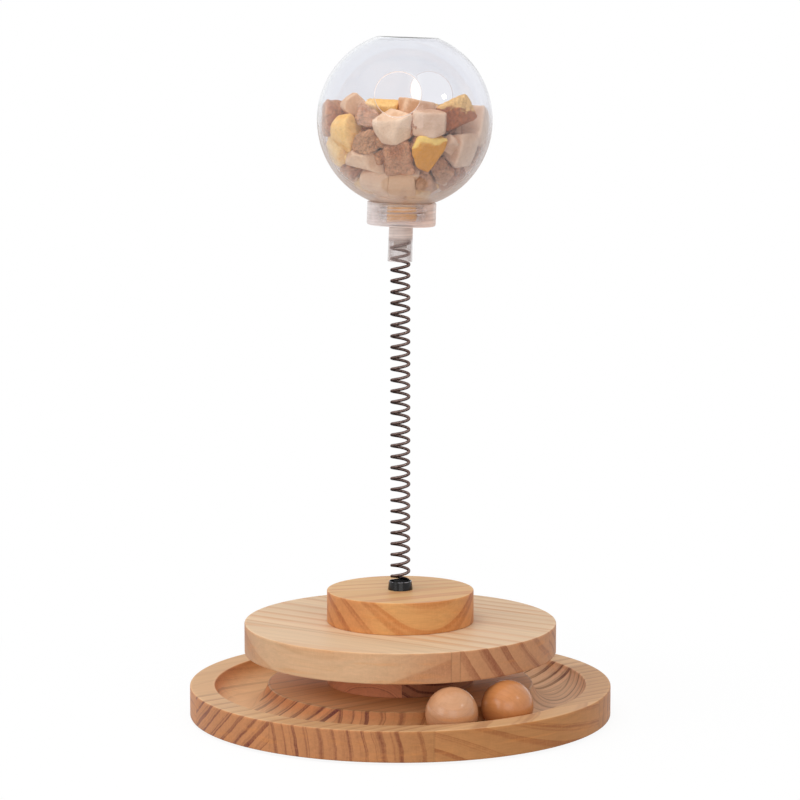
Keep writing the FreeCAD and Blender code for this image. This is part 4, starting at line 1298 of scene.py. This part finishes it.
KINDS = ("cream", "brown", "yellow")
large = {kind: chunks(f"treats_{kind}") for kind in KINDS}
taken = np.array([middle for kind in KINDS for middle, _ in large[kind]])
small = crumbs(taken, 41)
on_left = small[:, 0] < -25  # these are yellow, of the others two in three are brown
others = small[~on_left]
shares = {
    "cream": others[::3], "brown": np.vstack([others[1::3], others[2::3]]), "yellow": small[on_left],
}
print(len(taken), "treats and", len(small), "crumbs, of which", on_left.sum(), "yellow")

# one more yellow piece stands in the neck and shows through the cap
NECK_TREAT = leaned(np.array([0.0, 0.0, 301.8]))
NECK_SIDES = np.vstack([np.eye(3), -np.eye(3)]), np.array([8.0, 8.0, 7.2, 8.0, 8.0, 7.2])
NECK_SHARE = 0.6  # of the special treat's colours


# %% Treats by colour
def treats(kind, finish, look, special, seed):
    """All the treats of one colour as one piece. Each point keeps its place in its own treat, its
    treat's random number, how near it is to an edge, and how much its treat is the special one, which
    is the treat nearest to that place. The neck's piece takes after it. The look is how sharp the
    corners are, how far the skin is worn, how deep its pits are and how far its layers split."""
    rand = np.random.default_rng(seed)
    jobs = [(middle, *sides(middle, triangles), "large") for middle, triangles in large[kind]]
    jobs += [(middle, *crumb_sides(rand), "small") for middle in shares[kind]]
    if kind == "yellow":
        jobs.append((NECK_TREAT, *NECK_SIDES, "large"))
    chosen = np.argmin([np.linalg.norm(job[0] - np.array(special)) for job in jobs])
    spots, faces, owns, lucks, edges, marks = [], [], [], [], [], []
    start = 0
    for count, (middle, normals, distances, grid) in enumerate(jobs):
        points, own, edge = treat_grid(middle, normals, distances, grid, look, rand)
        faces.append(quads(*GRIDS[grid]) + start)
        start += len(points)
        spots.append(points)
        owns.append(own + rand.uniform(-500, 500, 3))
        lucks.append(np.full(len(points), rand.uniform()))
        edges.append(edge)
        mark = NECK_SHARE if middle is NECK_TREAT else float(count == chosen)
        marks.append(np.full(len(points), mark))
    made = put(
        f"treats_{kind}_dried", np.vstack(spots), np.vstack(faces), finish,
        {"own_place": np.vstack(owns), "luck": np.concatenate(lucks), "edge": np.concatenate(edges),
         "special": np.concatenate(marks)},
    )
    stands_for(made, "jar", f"treats_{kind}")


def dried(name, light, deep, pale, special, crack, depth):
    """Dry food: a matt skin with soft patches, pits, paler worn edges and dark cracks along its
    fibres, which crack makes weak or strong. Each treat has its own tint. The special one has two
    colours of its own, on its sides and on its upper side: special holds the two and the height of
    its middle. Its upper side is also painted brighter, as painted light."""
    finish = Finish(name)
    own = finish.attribute("own_place", output="Vector")
    luck = finish.attribute("luck")
    patch = finish.noise(own, 0.18, detail=3.0)
    pit = finish.noise(own, 0.9, detail=4.0, roughness=0.7)
    speck = finish.noise(own, 0.6, detail=3.0)
    x, y, z = finish.parts(own)
    fibre = finish.noise(finish.joined(x, y, z * 0.18), 1.0, detail=4.0, roughness=0.75)
    vein = finish.noise(finish.joined(x * 0.34, y * 0.34, z * 0.1), 1.0, detail=3.0, distortion=0.5)
    gap = (1 - (vein - 0.5).size().rise(0.008, 0.055)) * fibre.rise(0.35, 0.6) * crack
    colour = finish.mixed(light, deep, (patch + (luck - 0.5) * 0.5).rise(0.3, 0.7))
    height = finish.parts(finish.place())[2]
    lean = finish.parts(finish.facing())[2]
    above = ((height - special[2]) * 0.07 + lean * 0.6 + (patch - 0.5) * 0.8).rise(0.1, 0.4)
    chosen = finish.attribute("special")
    colour = finish.mixed(colour, finish.mixed(special[0], special[1], above), chosen)
    worn = pit.rise(0.5, 0.8) * 0.25 + finish.attribute("edge") * 0.35
    colour = finish.mixed(colour, pale, worn * (1 - chosen * 0.7))
    hollow = speck.rise(0.56, 0.72) * (crack * 0.4 + 0.06)
    marks = (gap + hollow) * (1 - chosen * above * 0.85)
    colour = finish.mixed(colour, finish.vector("SCALE", colour, scale=0.4), marks)
    # painted light: the special treat's upper side is made brighter still
    shade = (
        0.95 + luck * 0.12 + (luck - 0.5) * crack * 0.2 + chosen * above * crack * 0.25
        + (pit - 0.5) * (0.3 + crack * 0.35) + (fibre - 0.5) * (crack + 0.1) * 1.4
    )
    relief = pit * 0.5 + fibre * (0.3 + crack) - gap * 0.8 - hollow
    return finish.ends(finish.principled(
        Base_Color=finish.vector("SCALE", colour, scale=shade), Roughness=0.85,
        Normal=finish.bump(relief, depth), Specular_IOR_Level=0.2,
    ))


cream = dried(
    "treat_cream", tone(233, 194, 162), tone(213, 166, 131), tone(241, 214, 189),
    (tone(233, 194, 162), tone(233, 194, 162), 0.0), 0.1, 0.35,
)
yellow = dried(
    "treat_yellow", tone(250, 200, 132), tone(240, 180, 96), tone(252, 220, 160),
    (tone(234, 150, 2), tone(255, 212, 112), 336.5), 0.2, 0.6,
)
brown = dried(
    "treat_brown", tone(220, 154, 109), tone(185, 117, 79), tone(236, 187, 151),
    (tone(208, 118, 66), tone(255, 206, 134), 357.0), 0.6, 0.9,
)
treats("cream", cream, (22, 0.4, 0.25, 0.0), (0, 0, 0), 11)
treats("yellow", yellow, (16, 0.5, 0.5, 0.0), (16.8, -38.3, 335.7), 22)
treats("brown", brown, (11, 0.8, 1.2, 0.7), (32.1, -28.5, 357.0), 33)

# %% [markdown]
# ## Hidden hardware
#
# The bolt, nut, washers, screw, plug, seal and pads hardly show, but the part has to look right when
# it is turned over or taken apart. Their shapes are right as they are, so the solids only get
# finishes: zinc-plated steel, moulded plastic, foam, and soft silicone that is half see-through.

# %% Hardware finishes
def zinc():
    """Zinc plating: bright metal with faint cloudy spots."""
    finish = Finish("zinc_steel")
    spot = finish.place()
    cloud = finish.noise(spot, 0.8, detail=3.0)
    grain = finish.noise(spot, 6.0, detail=2.0)
    return finish.ends(finish.principled(
        Base_Color=finish.mixed(tone(206, 208, 210), tone(182, 186, 192), cloud.rise(0.35, 0.65)),
        Metallic=1.0, Roughness=0.3 + (grain - 0.5) * 0.2, Normal=finish.bump(grain, 0.01),
    ))


def matt(name, light, dark, scale, rough, depth, shine=0.5, cover=1.0):
    """A matt moulded or foamed surface with a fine texture. Its cover is how much it hides."""
    finish = Finish(name)
    spot = finish.place()
    grain = finish.noise(spot, scale, detail=4.0)
    return finish.ends(finish.principled(
        Base_Color=finish.mixed(light, dark, grain.rise(0.3, 0.7)), Roughness=rough + (grain - 0.5) * 0.15,
        Normal=finish.bump(grain, depth), Specular_IOR_Level=shine, Alpha=cover,
    ))


finishes = {
    "zinc_steel": zinc(),
    "pad": matt("pad_foam", tone(70, 70, 72), tone(46, 46, 48), 1.6, 0.9, 0.15),
    "rubber": matt("seal_rubber", tone(232, 214, 196), tone(214, 192, 170), 1.5, 0.6, 0.03, cover=0.4),
    "black_zinc": matt("black_zinc", tone(26, 25, 26), tone(16, 15, 16), 1.2, 0.6, 0.02, 0.05),
    "plug": matt("plug_plastic", tone(232, 224, 216), tone(220, 210, 200), 0.8, 0.5, 0.03),
}
for name, finish in {
    "foot_pads": "pad", "central_bolt": "black_zinc", "bolt_washer": "zinc_steel",
    # painted shade: the nut in the cup's mouth gets the black, nearly unreflecting finish so that the mouth
    # reads dark
    "cup_nut": "black_zinc", "sleeve_screw": "zinc_steel", "sleeve_washer": "zinc_steel",
    "sleeve_plug": "plug", "neck_seal": "rubber",
}.items():
    for slot in nodes[name].material_slots:
        slot.material = finishes[finish]
    print(name, "->", finish)

# %% [markdown]
# ## The last step

# %% The last step
bpy.context.scene.view_settings.view_transform = "Standard"
